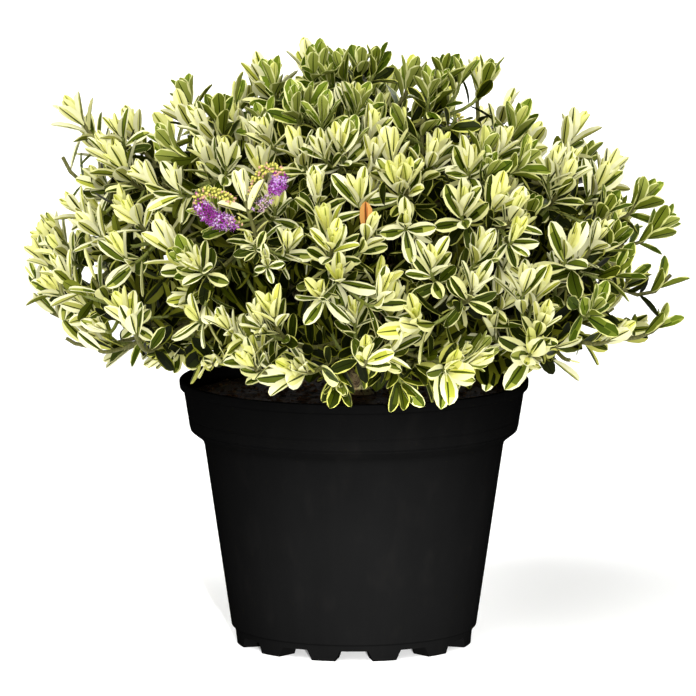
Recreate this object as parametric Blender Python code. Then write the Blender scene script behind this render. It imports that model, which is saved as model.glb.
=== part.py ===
"""A hebe with cream-edged leaves, grown as a dome of shoots in a round black nursery pot.

Lengths are in metres, +Z is up, and the pot stands with the middle of its foot circle on the
origin. The side that is usually looked at faces -Y.
"""

import math
import random

import bmesh
import bpy
from mathutils import Matrix, Vector
from mathutils.bvhtree import BVHTree

GAP = 0.0003  # left between solids that would touch
UP = Vector((0, 0, 1))

# Nursery pot
POT_HEIGHT = 0.175
RIM_RADIUS = 0.115
WALL = 0.0018
LIP_HEIGHT = 0.007
LIP_REACH = 0.003  # how far the lip stands out of the rim band
BAND_HEIGHT = 0.026
BAND_DRAFT = 0.16  # radius lost for each unit of height, going down
STEP_HEIGHT = 0.007
STEP_REACH = 0.009  # how far the rim band overhangs the wall
WALL_DRAFT = 0.146
LEDGE_HEIGHT = 0.0115
LEDGE_REACH = 0.002
FLOOR_UNDER = 0.0075
FOOT_COUNT = 12
FOOT_DEPTH = 0.017
NOTCH_HEIGHT = 0.0068
NOTCH_OUTER = (0.0127, 0.0095)  # half widths at the ground and at the top
NOTCH_INNER = (0.0080, 0.0060)
DRAIN_COUNT = 8
DRAIN_RADIUS = 0.0045
DRAIN_CIRCLE = 0.048
POT_SIDES = 40

# Potting mix
MIX_BELOW_RIM = 0.010
MIX_CROWN = 0.0015  # how much the mix rises from the wall to the stem
MIX_SIDES = 32

# Main stem
STEM_HEIGHT = 0.042
STEM_FLARE = 0.0125
STEM_RADIUS = 0.0085
STEM_TOP_RADIUS = 0.0066
STEM_LEAN = Vector((0.0020, -0.0015, 0))
STEM_SIDES = 10

# Crown: a dome of shoots on a shallow underside
CROWN_MIDDLE = Vector((0, 0, 0.235))
CROWN_WIDE = 0.212
CROWN_DEEP = 0.207
CROWN_UP = 0.163
CROWN_DOWN = 0.085
CROWN_HEART = 0.48  # the inner share of the crown, where only boughs run

# Shoots that stand out of the dome on either side and on top: millimetres across and up
OUTLINE_SHOOTS = (
    (-189, 364), (-197, 339), (-177, 349), (-207, 281), (-219, 258), (-215, 229), (-202, 217),
    (-167, 174), (-149, 355), (-114, 377), (-62, 391), (-31, 401), (4, 401), (38, 388), (86, 386),
    (111, 361), (150, 350), (174, 325), (197, 308), (210, 290), (217, 262), (214, 230), (196, 210),
    (150, 175),
)
TIP_CLEAR = 0.036  # how far the other shoots keep from these

# Masses of foliage: ring, places, first azimuth and height angle in degrees, then the height
# up the main stem where its boughs start and the angle at which they rise
SKIRT_PLACES = ("front", "front_right", "back_right", "back", "back_left", "front_left")
SHOULDER_PLACES = ("right", "back_right", "back_left", "left", "front_left", "front_right")
RINGS = (
    ("skirt", SKIRT_PLACES, -90, -7, 0.009, 22),
    ("shoulder", SHOULDER_PLACES, 0, 33, 0.024, 50),
    ("crown", ("top",), 0, 90, 0.042, 90),
)

BOUGH_RADII = (0.0034, 0.0021)
BOUGH_SIDES = 5
BOUGH_STEPS = 4

# Growth
TIP_COUNT = 88
LOWEST_TIP = -0.72  # in shares of the crown's lower half
CROWDING = 1.25  # over 1, shoots crowd towards the top
INNER_TIPS = 18
INNER_LEVEL = 0.76
GOLDEN_TURN = math.pi * (3 - math.sqrt(5))
MASS_STEM_RADII = (0.0020, 0.0015)
TWIG_RADII = (0.0015, 0.0012)
LEAF_LENGTH = 0.040
LEAF_WIDTH = 0.022
LEAF_THICK = 0.0018
LEAF_STALK = 0.005
LEAF_SUNK = 0.0005  # how far past the twig's axis a leaf begins
CELL_MARGIN = 0.0006
DRAWN_IN = (0, 0.1, 0.2, 0.3, 0.4)  # how far a shoot is drawn towards the middle of its mass
POT_MARGIN = 0.0015
# Pairs of leaves from the tip down: distance from the tip, angle to the twig, share of full size
PAIRS = (
    (0.0010, 24, 0.90),
    (0.0085, 58, 1.0),
    (0.0280, 70, 0.90),
)

NUDGES = (0, 0.3, -0.3, 0.6, -0.6)  # turns tried, where a leaf would leave its space

# Flower spikes: the tips of the two shoots that carry a pair of them each, in millimetres
SPIKE_SHOOTS = ((-72, -166, 322), (84, 158, 318))
SPIKE_LENGTH = 0.030
SPIKE_RADIUS = 0.0085
SPIKE_SIDES = 6


def clear_scene():
    for old in list(bpy.data.objects):
        bpy.data.objects.remove(old, do_unlink=True)


def plain_material(name, colour, roughness):
    material = bpy.data.materials.new(name)
    material.use_nodes = True
    shader = material.node_tree.nodes["Principled BSDF"]
    shader.inputs["Base Color"].default_value = (*colour, 1)
    shader.inputs["Roughness"].default_value = roughness
    shader.inputs["Metallic"].default_value = 0.0
    return material


def add_object(name, mesh, material=None):
    made = bpy.data.objects.new(name, mesh)
    bpy.context.scene.collection.objects.link(made)
    if material:
        mesh.materials.append(material)
    return made


def mesh_from(name, points, faces):
    mesh = bpy.data.meshes.new(name)
    mesh.from_pydata([tuple(p) for p in points], [], faces)
    mesh.update()
    return mesh


def bezier(start, start_pull, end_pull, end, t):
    s = 1 - t
    return (
        start * s**3
        + start_pull * (3 * s * s * t)
        + end_pull * (3 * s * t * t)
        + end * t**3
    )


def bezier_points(start, start_way, end, end_way, steps, pull=0.36):
    reach = (end - start).length * pull
    near, far = start + start_way * reach, end - end_way * reach
    return [bezier(start, near, far, end, i / steps) for i in range(steps + 1)]


def way_of(azimuth, height_angle):
    """A unit vector at an azimuth (0 is +X, 90 is +Y) and an angle above the horizon."""
    a, h = math.radians(azimuth), math.radians(height_angle)
    return Vector((math.cos(a) * math.cos(h), math.sin(a) * math.cos(h), math.sin(h)))


def square_to(way):
    """A unit vector at right angles to way."""
    other = UP if abs(way.z) < 0.9 else Vector((1, 0, 0))
    return way.cross(other).normalized()


def tube(points, radii, sides, first_way=None, last_way=None):
    """Points and faces of a closed tube through points, its radius running from radii[0] to radii[1]."""
    count = len(points)
    ways = []
    for i in range(count):
        step = points[min(i + 1, count - 1)] - points[max(i - 1, 0)]
        ways.append(step.normalized())
    ways[0] = first_way or ways[0]
    ways[-1] = last_way or ways[-1]
    side = square_to(ways[0])
    corners = []
    for i, (point, way) in enumerate(zip(points, ways)):
        side = (side - way * side.dot(way)).normalized()
        other = way.cross(side)
        radius = radii[0] + (radii[1] - radii[0]) * i / (count - 1)
        for k in range(sides):
            turn = math.tau * k / sides
            corners.append(point + (side * math.cos(turn) + other * math.sin(turn)) * radius)
    faces = [tuple(reversed(range(sides))), tuple(range((count - 1) * sides, count * sides))]
    for i in range(count - 1):
        for k in range(sides):
            a, b = i * sides + k, i * sides + (k + 1) % sides
            faces.append((a, b, b + sides, a + sides))
    return corners, faces


def turned(name, profile, sides, material):
    """A profile of (radius, height) points, spun round the pot's axis with a Screw modifier."""
    points = [(radius, 0, height) for radius, height in profile]
    mesh = bpy.data.meshes.new(name)
    mesh.from_pydata(points, [(i, i + 1) for i in range(len(points) - 1)], [])
    made = add_object(name, mesh, material)
    screw = made.modifiers.new("Turn", "SCREW")
    screw.steps = screw.render_steps = sides
    screw.use_merge_vertices = True
    screw.merge_threshold = 0.00001
    return made


def pot_radius(height):
    """The outer radius of the pot's body or rim band at a height, without the lip."""
    band_foot = POT_HEIGHT - LIP_HEIGHT - BAND_HEIGHT
    if height >= band_foot:
        return RIM_RADIUS - LIP_REACH - (POT_HEIGHT - LIP_HEIGHT - height) * BAND_DRAFT
    wall_top = band_foot - STEP_HEIGHT
    wall_radius = pot_radius(band_foot) - STEP_REACH
    if height <= wall_top:
        return wall_radius - (wall_top - height) * WALL_DRAFT
    return wall_radius + STEP_REACH * (height - wall_top) / STEP_HEIGHT


def make_pot(material):
    band_foot = POT_HEIGHT - LIP_HEIGHT - BAND_HEIGHT
    wall_top = band_foot - STEP_HEIGHT
    floor_top = FLOOR_UNDER + WALL
    foot_radius = pot_radius(LEDGE_HEIGHT) - LEDGE_REACH
    profile = [
        (0, floor_top),
        (pot_radius(floor_top) - 2 * WALL, floor_top),
        (pot_radius(wall_top) - WALL, wall_top + WALL),
        (pot_radius(band_foot) - WALL, band_foot + WALL),
        (RIM_RADIUS - LIP_REACH / 2 - WALL, POT_HEIGHT),
        (RIM_RADIUS - LIP_REACH / 3, POT_HEIGHT),
        (RIM_RADIUS, POT_HEIGHT - LIP_HEIGHT / 3),
        (RIM_RADIUS - LIP_REACH / 6, POT_HEIGHT - LIP_HEIGHT * 0.8),
        (pot_radius(POT_HEIGHT - LIP_HEIGHT), POT_HEIGHT - LIP_HEIGHT),
        (pot_radius(band_foot), band_foot),
        (pot_radius(wall_top), wall_top),
        (pot_radius(LEDGE_HEIGHT), LEDGE_HEIGHT),
        (foot_radius, LEDGE_HEIGHT - LEDGE_REACH / 2),
        (foot_radius - LEDGE_REACH / 2, 0),
        (foot_radius - FOOT_DEPTH, 0),
        (foot_radius - FOOT_DEPTH - LEDGE_REACH / 2, FLOOR_UNDER),
        (0, FLOOR_UNDER),
    ]
    pot = turned("nursery_pot", profile, POT_SIDES, material)
    cutters = [notch_cutter(i, foot_radius) for i in range(FOOT_COUNT)]
    cutters += [drain_cutter(i) for i in range(DRAIN_COUNT)]
    cut_away(pot, cutters)
    return pot


def notch_cutter(index, foot_radius):
    """A wedge that parts two neighbouring feet, wider at the ground and at the outside."""
    turn = Matrix.Rotation(math.tau * index / FOOT_COUNT - math.pi / 2, 3, "Z")
    points = []
    for radius, halves in (
        (foot_radius + 2 * LEDGE_REACH, NOTCH_OUTER),
        (foot_radius - FOOT_DEPTH - 2 * LEDGE_REACH, NOTCH_INNER),
    ):
        for height, half in ((-NOTCH_HEIGHT / 4, halves[0]), (NOTCH_HEIGHT, halves[1])):
            points += [turn @ Vector((radius, side * half, height)) for side in (-1, 1)]
    faces = [(0, 1, 3, 2), (4, 6, 7, 5), (0, 4, 5, 1), (2, 3, 7, 6), (0, 2, 6, 4), (1, 5, 7, 3)]
    return outward(add_object("notch cutter", mesh_from("notch cutter", points, faces)))


def drain_cutter(index):
    turn = math.tau * (index + 0.5) / DRAIN_COUNT
    foot = Vector((math.cos(turn) * DRAIN_CIRCLE, math.sin(turn) * DRAIN_CIRCLE, FLOOR_UNDER))
    half = UP * 2 * WALL
    points, faces = tube([foot - half, foot + half], (DRAIN_RADIUS, DRAIN_RADIUS), 8)
    return outward(add_object("drain cutter", mesh_from("drain cutter", points, faces)))


def outward(made):
    """Turns all faces of a closed mesh outwards."""
    work = bmesh.new()
    work.from_mesh(made.data)
    bmesh.ops.recalc_face_normals(work, faces=work.faces)
    work.to_mesh(made.data)
    work.free()
    return made


def cut_away(made, cutters):
    """Bakes one Boolean difference with all the cutters into the mesh, and removes them."""
    apply_boolean(made, cutters, "DIFFERENCE")


def fuse(made, others):
    """Bakes one Boolean union with all the others into the mesh, and removes them."""
    apply_boolean(made, others, "UNION")


def apply_boolean(made, others, operation):
    group = bpy.data.collections.new("operands")
    bpy.context.scene.collection.children.link(group)
    for other in others:
        bpy.context.scene.collection.objects.unlink(other)
        group.objects.link(other)
    boolean = made.modifiers.new(operation.title(), "BOOLEAN")
    boolean.operation = operation
    boolean.operand_type = "COLLECTION"
    boolean.collection = group
    boolean.solver = "MANIFOLD"
    graph = bpy.context.evaluated_depsgraph_get()
    mesh = bpy.data.meshes.new_from_object(made.evaluated_get(graph))
    made.modifiers.clear()
    made.data = mesh
    for other in others:
        bpy.data.objects.remove(other, do_unlink=True)
    bpy.data.collections.remove(group)


def make_mix(material):
    """Potting mix: it fills the pot inside, a hair clear of the wall."""
    band_foot = POT_HEIGHT - LIP_HEIGHT - BAND_HEIGHT
    wall_top = band_foot - STEP_HEIGHT
    floor_top = FLOOR_UNDER + WALL
    top = POT_HEIGHT - MIX_BELOW_RIM
    facet = math.cos(math.pi / POT_SIDES)

    def inside(height):
        return (pot_radius(height) - WALL) * facet - 2 * GAP

    profile = [
        (0, top),
        (inside(top) * 0.6, top - MIX_CROWN / 3),
        (inside(top - MIX_CROWN), top - MIX_CROWN),
        (inside(band_foot) - GAP, band_foot + WALL),
        (inside(wall_top) - GAP, wall_top + 2 * WALL),
        ((pot_radius(floor_top) - 2 * WALL) * facet - 2 * GAP, floor_top + GAP),
        (0, floor_top + GAP),
    ]
    return turned("potting_mix", profile, MIX_SIDES, material)


def stem_axis(height):
    """The middle of the main stem at a height above its foot."""
    foot = Vector((0, 0, POT_HEIGHT - MIX_BELOW_RIM + GAP))
    return foot + UP * height + STEM_LEAN * (height / STEM_HEIGHT) ** 2


def stem_radius(height):
    """The main stem flares into its roots over its lowest quarter."""
    flare = max(0.0, 1 - height / (STEM_HEIGHT / 4)) ** 2
    plain = STEM_RADIUS + (STEM_TOP_RADIUS - STEM_RADIUS) * height / STEM_HEIGHT
    return plain + (STEM_FLARE - STEM_RADIUS) * flare


def make_stem(material):
    heights = [STEM_HEIGHT * share for share in (0, 0.08, 0.18, 0.32, 0.6, 0.93, 1)]
    points = []
    for height in heights:
        end_round = 0.75 if height == STEM_HEIGHT else 1.0
        lobes = 0.16 * max(0.0, 1 - height / (STEM_HEIGHT / 4))
        for k in range(STEM_SIDES):
            turn = math.tau * k / STEM_SIDES
            radius = stem_radius(height) * end_round * (1 + lobes * math.cos(3 * turn + 0.4))
            points.append(
                stem_axis(height) + Vector((math.cos(turn), math.sin(turn), 0)) * radius
            )
    last = (len(heights) - 1) * STEM_SIDES
    faces = [tuple(reversed(range(STEM_SIDES))), tuple(range(last, last + STEM_SIDES))]
    for i in range(len(heights) - 1):
        for k in range(STEM_SIDES):
            a, b = i * STEM_SIDES + k, i * STEM_SIDES + (k + 1) % STEM_SIDES
            faces += [(a, b, b + STEM_SIDES), (a, b + STEM_SIDES, a + STEM_SIDES)]
    return add_object("main_stem", mesh_from("main_stem", points, faces), material)


def crown_level(point):
    """0 at the crown's middle, 1 on its smooth outline."""
    p = point - CROWN_MIDDLE
    tall = CROWN_UP if p.z > 0 else CROWN_DOWN
    return math.sqrt((p.x / CROWN_WIDE) ** 2 + (p.y / CROWN_DEEP) ** 2 + (p.z / tall) ** 2)


def masses():
    """Each mass: its name, its direction from the crown's middle, and where its bough starts."""
    found = []
    for ring, places, first, height_angle, start, rise in RINGS:
        for i, place in enumerate(places):
            azimuth = first + 360 * i / len(places)
            found.append((f"{ring}_{place}", way_of(azimuth, height_angle), start, azimuth, rise))
    return found


def bough_end(way):
    return CROWN_MIDDLE + way * (CROWN_HEART / crown_level(CROWN_MIDDLE + way))


def bough_last_way(way):
    return (way + UP * 0.25).normalized()


def bough_root(mass, stem_tree):
    """Where a bough starts: its flat end is moved in until it stands a gap clear of the main stem."""
    _, _, start, azimuth, rise = mass
    first_way = way_of(azimuth, rise)
    in_way = -UP if rise == 90 else -way_of(azimuth, 0)
    root = stem_axis(start) - in_way * 2 * STEM_FLARE
    flat_end, _ = tube([Vector(), first_way], BOUGH_RADII[:1] * 2, BOUGH_SIDES)
    corners = flat_end[:BOUGH_SIDES]
    offsets = [
        near.lerp(far, along) * share
        for near, far in zip(corners, corners[1:] + corners[:1])
        for along in (0, 0.25, 0.5, 0.75)
        for share in (0, 0.25, 0.5, 0.75, 1)
    ]
    for _ in range(8):
        clear = min(stem_tree.find_nearest(root + offset)[3] for offset in offsets)
        root = root + in_way * (clear - GAP)
    return root


def make_bough(mass, stem_tree, material):
    """A bough leaves the main stem, rises and arches outwards to its mass."""
    name, way, _, azimuth, rise = mass
    root = bough_root(mass, stem_tree)
    first_way, last_way = way_of(azimuth, rise), bough_last_way(way)
    path = bezier_points(root, first_way, bough_end(way), last_way, BOUGH_STEPS)
    points, faces = tube(path, BOUGH_RADII, BOUGH_SIDES, first_way, last_way)
    return add_object(f"bough_{name}", mesh_from(f"bough_{name}", points, faces), material)


def dome_points(count, lowest, rng):
    """Points spread evenly over the crown's outline by the golden angle, as offsets from its middle."""
    for k in range(count):
        share = 1 - (1 - lowest) * ((k + 0.5) / count) ** CROWDING
        turn = k * GOLDEN_TURN + rng.uniform(-0.10, 0.10)
        ring = math.sqrt(1 - share * share)
        tall = CROWN_UP if share > 0 else CROWN_DOWN
        yield Vector(
            (CROWN_WIDE * ring * math.cos(turn), CROWN_DEEP * ring * math.sin(turn), tall * share)
        )


def crown_tips():
    """Where the shoots end: those in blossom, the outline's own, the dome's, and some inside it."""
    rng = random.Random(11)
    tips = [Vector(tip) / 1000 for tip in SPIKE_SHOOTS]
    for across, up in OUTLINE_SHOOTS:
        tips.append(Vector((across / 1000, rng.uniform(-0.022, 0.022), up / 1000)))
    named = list(tips)
    for off in dome_points(TIP_COUNT, LOWEST_TIP, rng):
        tip = CROWN_MIDDLE + off * rng.uniform(0.95, 1.0)
        if all((tip - other).length > TIP_CLEAR for other in named):
            tips.append(tip)
    for off in dome_points(INNER_TIPS, LOWEST_TIP / 2, rng):
        tips.append(CROWN_MIDDLE + off * INNER_LEVEL)
    return tips


def shoot_way(arm, wobble):
    """Shoots point away from the crown's middle and turn up to the light."""
    out = arm.normalized()
    lift = 0.38 if out.z > 0 else 0.30 + out.z * 0.6
    return (out + UP * lift + wobble * 0.10).normalized()


def cell_of(way, all_ways):
    """The inward normals of the planes that part a mass's space from its neighbours'."""
    return [(way - other).normalized() for other in all_ways if (way - other).length > 1e-6]


def pot_guard():
    """A search tree of a drum round the pot's upper half, which no leaf or twig may cut."""
    radius = RIM_RADIUS + POT_MARGIN
    ends = [UP * POT_HEIGHT / 2, UP * (POT_HEIGHT + POT_MARGIN)]
    return BVHTree.FromPolygons(*tube(ends, (radius, radius), POT_SIDES))


def in_space(shape, space):
    """True if a shape keeps to its mass's space, outside the crown's heart and clear of the pot."""
    points, faces = shape
    planes, guard = space
    for point in points:
        p = point - CROWN_MIDDLE
        if any(p.dot(plane) < CELL_MARGIN for plane in planes):
            return False
        if crown_level(point) < CROWN_HEART:
            return False
        if math.hypot(point.x, point.y) < RIM_RADIUS and point.z < POT_HEIGHT:
            return False
    return not guard.overlap(BVHTree.FromPolygons(points, faces))


def leaf(root, way, face, size):
    """A kite-shaped leaf: a flat tetrahedron, keeled along its underside from root to tip."""
    length, half = LEAF_LENGTH * size, LEAF_WIDTH * size / 2
    side = way.cross(face)
    widest = root + way * length * 0.55 + face * LEAF_THICK
    points = [root, widest - side * half, widest + side * half, root + way * length]
    return points, [(0, 1, 2), (3, 2, 1), (0, 3, 1), (0, 2, 3)]


def blade_tree(points, faces, way):
    """A search tree of a leaf's blade, without its root, which may cross its own shoot's."""
    return BVHTree.FromPolygons([points[0] + way * LEAF_STALK, *points[1:]], faces)


def placed_leaf(root, shoot, angle, turns, size, space, blades):
    """The first of the turned leaves that keeps to its space and crosses no other blade, or None."""
    spare = None
    for turn in turns:
        out = Matrix.Rotation(turn, 3, shoot) @ square_to(shoot)
        way = shoot * math.cos(angle) + out * math.sin(angle)
        face = shoot * math.sin(angle) - out * math.cos(angle)
        shape = leaf(root - out * LEAF_SUNK, way, face, size)
        if not in_space(shape, space):
            continue
        tree = blade_tree(*shape, way)
        if not any(tree.overlap(other) for other in blades):
            blades.append(tree)
            return shape
        spare = spare or (shape, tree)
    if spare:
        blades.append(spare[1])
        return spare[0]
    return None


def down_path(path, back):
    """The point at a distance back along a path from its end, and the path's direction there."""
    for near, far in zip(path[-2::-1], path[:0:-1]):
        step = far - near
        if back <= step.length or near == path[0]:
            return far - step.normalized() * back, step.normalized()
        back -= step.length


def shoot_leaves(path, count, space, blades, rng):
    """The first pairs of leaves of one shoot, each pair a quarter turn from the last."""
    turn = rng.uniform(0, math.pi)
    leaves = []
    for back, spread, size in PAIRS[:count]:
        for half_turn in (0, math.pi):
            root, shoot = down_path(path, back + rng.uniform(0, 0.0012))
            turns = [turn + half_turn + nudge for nudge in NUDGES]
            angle = math.radians(spread + rng.uniform(-6, 6))
            full = size * rng.uniform(0.92, 1.06)
            shape = placed_leaf(root, shoot, angle, turns, full, space, blades)
            if shape:
                leaves.append(shape)
        turn += math.pi / 2
    return leaves


def spike_points(root, way, side):
    """The middle line of a flower spike, which leaves its shoot sideways and curls up."""
    out = (way * 0.25 + side).normalized()
    return [
        root,
        root + out * SPIKE_LENGTH * 0.35,
        root + out * SPIKE_LENGTH * 0.72 + way * SPIKE_LENGTH * 0.12,
        root + out * SPIKE_LENGTH * 0.82 + way * SPIKE_LENGTH * 0.50,
    ]


def flower_spike(root, way, side):
    """A spike of blossom: a bare stalk that swells and narrows to its buds."""
    swelling = (0.10, 1.0, 0.85, 0.30)
    points, faces = tube(spike_points(root, way, side), (1.0, 1.0), SPIKE_SIDES)
    middle = spike_points(root, way, side)
    for i, share in enumerate(swelling):
        for k in range(SPIKE_SIDES):
            corner = i * SPIKE_SIDES + k
            out = (points[corner] - middle[i]).normalized()
            points[corner] = middle[i] + out * SPIKE_RADIUS * share
    return points, faces


def twig_path(tip, stem, way, steps, space, rng):
    """A twig from the mass's stem to a shoot's tip, which draws in until the twig keeps to the space."""
    arm = tip - CROWN_MIDDLE
    wobble = Vector((rng.uniform(-1, 1), rng.uniform(-1, 1), rng.uniform(-0.5, 1)))
    for pull in DRAWN_IN:
        drawn = arm.lerp(way * arm.length, pull)
        shoot = shoot_way(drawn, wobble)
        growing_point = CROWN_MIDDLE + drawn - shoot * LEAF_LENGTH * 0.80
        share = min(0.97, max(0.25, 1 - drawn.angle(way) / 0.55))
        at = min(int(share * 3), 2)
        root = stem[at].lerp(stem[at + 1], share * 3 - at)
        root_way = (stem[at + 1] - stem[at]).normalized()
        path = bezier_points(root, root_way, growing_point, shoot, steps)
        if in_space(tube(path, TWIG_RADII, 3), space):
            return path
    return None


def grow_mass(mass, tips, space, material):
    """One mass: a stem that goes on from its bough, twigs to every tip, leaves and any blossom."""
    name, way = mass[0], mass[1]
    last_way = bough_last_way(way)
    start = bough_end(way) + last_way * GAP
    hub = CROWN_MIDDLE + way * (0.70 / crown_level(CROWN_MIDDLE + way))
    stem = bezier_points(start, last_way, hub, way, 3)
    points, faces = tube(stem, MASS_STEM_RADII, 5, first_way=last_way)
    made = add_object(f"foliage_{name}", mesh_from(name, points, faces), material)
    rng = random.Random(f"leaves of {name}")
    shapes, blades = [], []
    for index, tip in tips:
        outer = crown_level(tip) > (1 + INNER_LEVEL) / 2
        path = twig_path(tip, stem, way, 3 if outer else 2, space, rng)
        if not path:
            continue
        shapes.append(tube(path, TWIG_RADII, 3))
        shapes += shoot_leaves(path, 3 if outer else 2, space, blades, rng)
        if index < len(SPIKE_SHOOTS):
            shoot = (path[-1] - path[-2]).normalized()
            across = shoot.cross(UP).normalized()
            for side in (across, -across):
                spike = flower_spike(path[-1] - shoot * 0.012, shoot, side)
                if in_space(spike, space):
                    shapes.append(spike)
    others = [
        outward(add_object("shape", mesh_from("shape", *shape))) for shape in shapes
    ]
    fuse(outward(made), others)
    drop_scraps(made)
    return made


def drop_scraps(made):
    """Keeps the largest loose part of a fused mass: the rest are scraps, or pockets sealed in it."""
    work = bmesh.new()
    work.from_mesh(made.data)
    bmesh.ops.triangulate(work, faces=work.faces)
    left = set(work.faces)
    parts = []
    while left:
        part, waiting = [], [left.pop()]
        while waiting:
            face = waiting.pop()
            part.append(face)
            for edge in face.edges:
                for other in edge.link_faces:
                    if other in left:
                        left.discard(other)
                        waiting.append(other)
        parts.append(part)
    parts.sort(key=len)
    loose = [face for part in parts[:-1] for face in part]
    bmesh.ops.delete(work, geom=loose, context="FACES")
    work.to_mesh(made.data)
    work.free()


def main():
    clear_scene()
    black = plain_material("black plastic", (0.012, 0.012, 0.013), 0.45)
    peat = plain_material("potting mix", (0.045, 0.026, 0.015), 0.95)
    bark = plain_material("bark", (0.20, 0.15, 0.08), 0.8)
    leaves = plain_material("cream and green leaf", (0.56, 0.60, 0.26), 0.5)
    make_pot(black)
    make_mix(peat)
    stem = make_stem(bark)
    stem_tree = BVHTree.FromPolygons(
        [corner.co for corner in stem.data.vertices], [face.vertices[:] for face in stem.data.polygons]
    )
    every = masses()
    ways = [mass[1] for mass in every]
    tips = crown_tips()
    homes = [max(range(len(ways)), key=lambda m: (tip - CROWN_MIDDLE).dot(ways[m])) for tip in tips]
    guard = pot_guard()
    for number, mass in enumerate(every):
        make_bough(mass, stem_tree, bark)
        own = [(i, tips[i]) for i, home in enumerate(homes) if home == number]
        grow_mass(mass, own, (cell_of(mass[1], ways), guard), leaves)


main()
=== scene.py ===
# %% [markdown]
# # A hebe with cream-edged leaves, in its nursery pot
#
# The real thing is a small evergreen shrub, sold in a round black pot of soft plastic. Hundreds of
# short upright shoots make a dome, each with its leaves in crossed pairs, and two of them bear a
# pair of purple flower spikes. The solids of the frame are plain: a few hundred large leaves, a
# faceted pot, smooth limbs. This script grows the fine plant in their place, by the same rule, and
# gives every surface its finish.

# %% Load the frame
import math
import random

import bmesh
import bpy
from mathutils import Matrix, Vector, noise


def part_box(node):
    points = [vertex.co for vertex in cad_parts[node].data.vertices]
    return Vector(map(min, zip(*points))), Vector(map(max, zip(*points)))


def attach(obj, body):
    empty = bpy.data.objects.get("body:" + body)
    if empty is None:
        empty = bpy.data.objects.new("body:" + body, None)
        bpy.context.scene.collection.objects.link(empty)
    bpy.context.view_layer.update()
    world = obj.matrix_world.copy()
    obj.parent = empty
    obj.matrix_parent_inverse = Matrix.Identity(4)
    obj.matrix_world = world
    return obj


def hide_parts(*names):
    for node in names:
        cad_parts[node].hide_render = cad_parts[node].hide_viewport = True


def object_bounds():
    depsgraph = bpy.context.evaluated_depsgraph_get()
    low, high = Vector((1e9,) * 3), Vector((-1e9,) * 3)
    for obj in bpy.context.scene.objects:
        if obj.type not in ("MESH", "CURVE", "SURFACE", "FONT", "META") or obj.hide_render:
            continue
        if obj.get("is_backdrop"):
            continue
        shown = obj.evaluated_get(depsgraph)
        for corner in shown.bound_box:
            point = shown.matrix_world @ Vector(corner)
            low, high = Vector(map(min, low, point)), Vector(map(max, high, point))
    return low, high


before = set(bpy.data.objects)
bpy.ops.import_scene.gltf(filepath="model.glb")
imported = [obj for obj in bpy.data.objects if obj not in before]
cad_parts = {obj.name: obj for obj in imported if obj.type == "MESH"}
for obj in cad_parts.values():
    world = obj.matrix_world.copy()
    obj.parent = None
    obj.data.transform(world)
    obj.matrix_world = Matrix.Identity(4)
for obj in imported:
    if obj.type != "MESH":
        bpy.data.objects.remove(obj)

cad_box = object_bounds()
RIM_RADIUS, _, POT_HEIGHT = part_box("nursery_pot")[1]
UP = Vector((0, 0, 1))
print("frame:", len(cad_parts), "nodes, pot", round(POT_HEIGHT, 4), "m tall")

# %% [markdown]
# ## The camera
#
# The photograph was taken from about five metres away with a long lens, from a little above the
# rim, so the pot's mouth shows as a thin ellipse. A nearer camera with a wider lens could frame
# the same pot, but it would see less of the crown's sides. One pixel of the 696 across is 0.657 mm
# at the pot, and the camera looks at the point that falls on the middle of the picture.

# %% Camera
PICTURE = 696
METRES_PER_PIXEL = 0.000657
POT_AXIS_PIXEL = 354
RIM_CENTRE_PIXEL = 378
CAMERA_RISE = math.radians(8.5)
CAMERA_FAR = 5.0
SENSOR = 36.0


def add_object(name, data):
    made = bpy.data.objects.new(name, data)
    bpy.context.scene.collection.objects.link(made)
    return made


aim = Vector((
    (PICTURE / 2 - POT_AXIS_PIXEL) * METRES_PER_PIXEL,
    0,
    POT_HEIGHT + (RIM_CENTRE_PIXEL - PICTURE / 2) * METRES_PER_PIXEL / math.cos(CAMERA_RISE),
))
eye = aim + Vector((0, -math.cos(CAMERA_RISE), math.sin(CAMERA_RISE))) * CAMERA_FAR
camera = add_object("camera", bpy.data.cameras.new("camera"))
camera.data.sensor_width = SENSOR
camera.data.lens = SENSOR * CAMERA_FAR / (PICTURE * METRES_PER_PIXEL)
camera.location = eye
camera.rotation_euler = (aim - eye).to_track_quat("-Z", "Y").to_euler()
bpy.context.scene.camera = camera
print("camera: lens", round(camera.data.lens), "mm, aimed at height", round(aim.z, 4))

# %% [markdown]
# ## Colours, and sums of wires
#
# Colours are written as they look on a screen, from 0 to 255, and turned into the linear values
# that a shader wants. Shader maths could be built a node and two links at a time. Here a small
# class wraps an output socket and takes plus, minus and times, so that a mask reads like a sum,
# and each sum adds its Math nodes behind the scenes.

# %% Colours and wires
def screen_colour(red, green, blue):
    linear = [
        c / 255 / 12.92 if c <= 10 else ((c / 255 + 0.055) / 1.055) ** 2.4
        for c in (red, green, blue)
    ]
    return (*linear, 1.0)


class Wire:
    """An output socket of a finish, for sums."""

    def __init__(self, finish, socket):
        self.finish = finish
        self.socket = socket

    def math(self, operation, first, second):
        return self.finish.node("ShaderNodeMath", {"operation": operation}, {0: first, 1: second})

    def __add__(self, other):
        return self.math("ADD", self, other)

    def __radd__(self, other):
        return self.math("ADD", other, self)

    def __sub__(self, other):
        return self.math("SUBTRACT", self, other)

    def __rsub__(self, other):
        return self.math("SUBTRACT", other, self)

    def __mul__(self, other):
        return self.math("MULTIPLY", self, other)

    def __rmul__(self, other):
        return self.math("MULTIPLY", other, self)


print("mid grey in linear light:", round(screen_colour(128, 128, 128)[0], 3))

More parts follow.
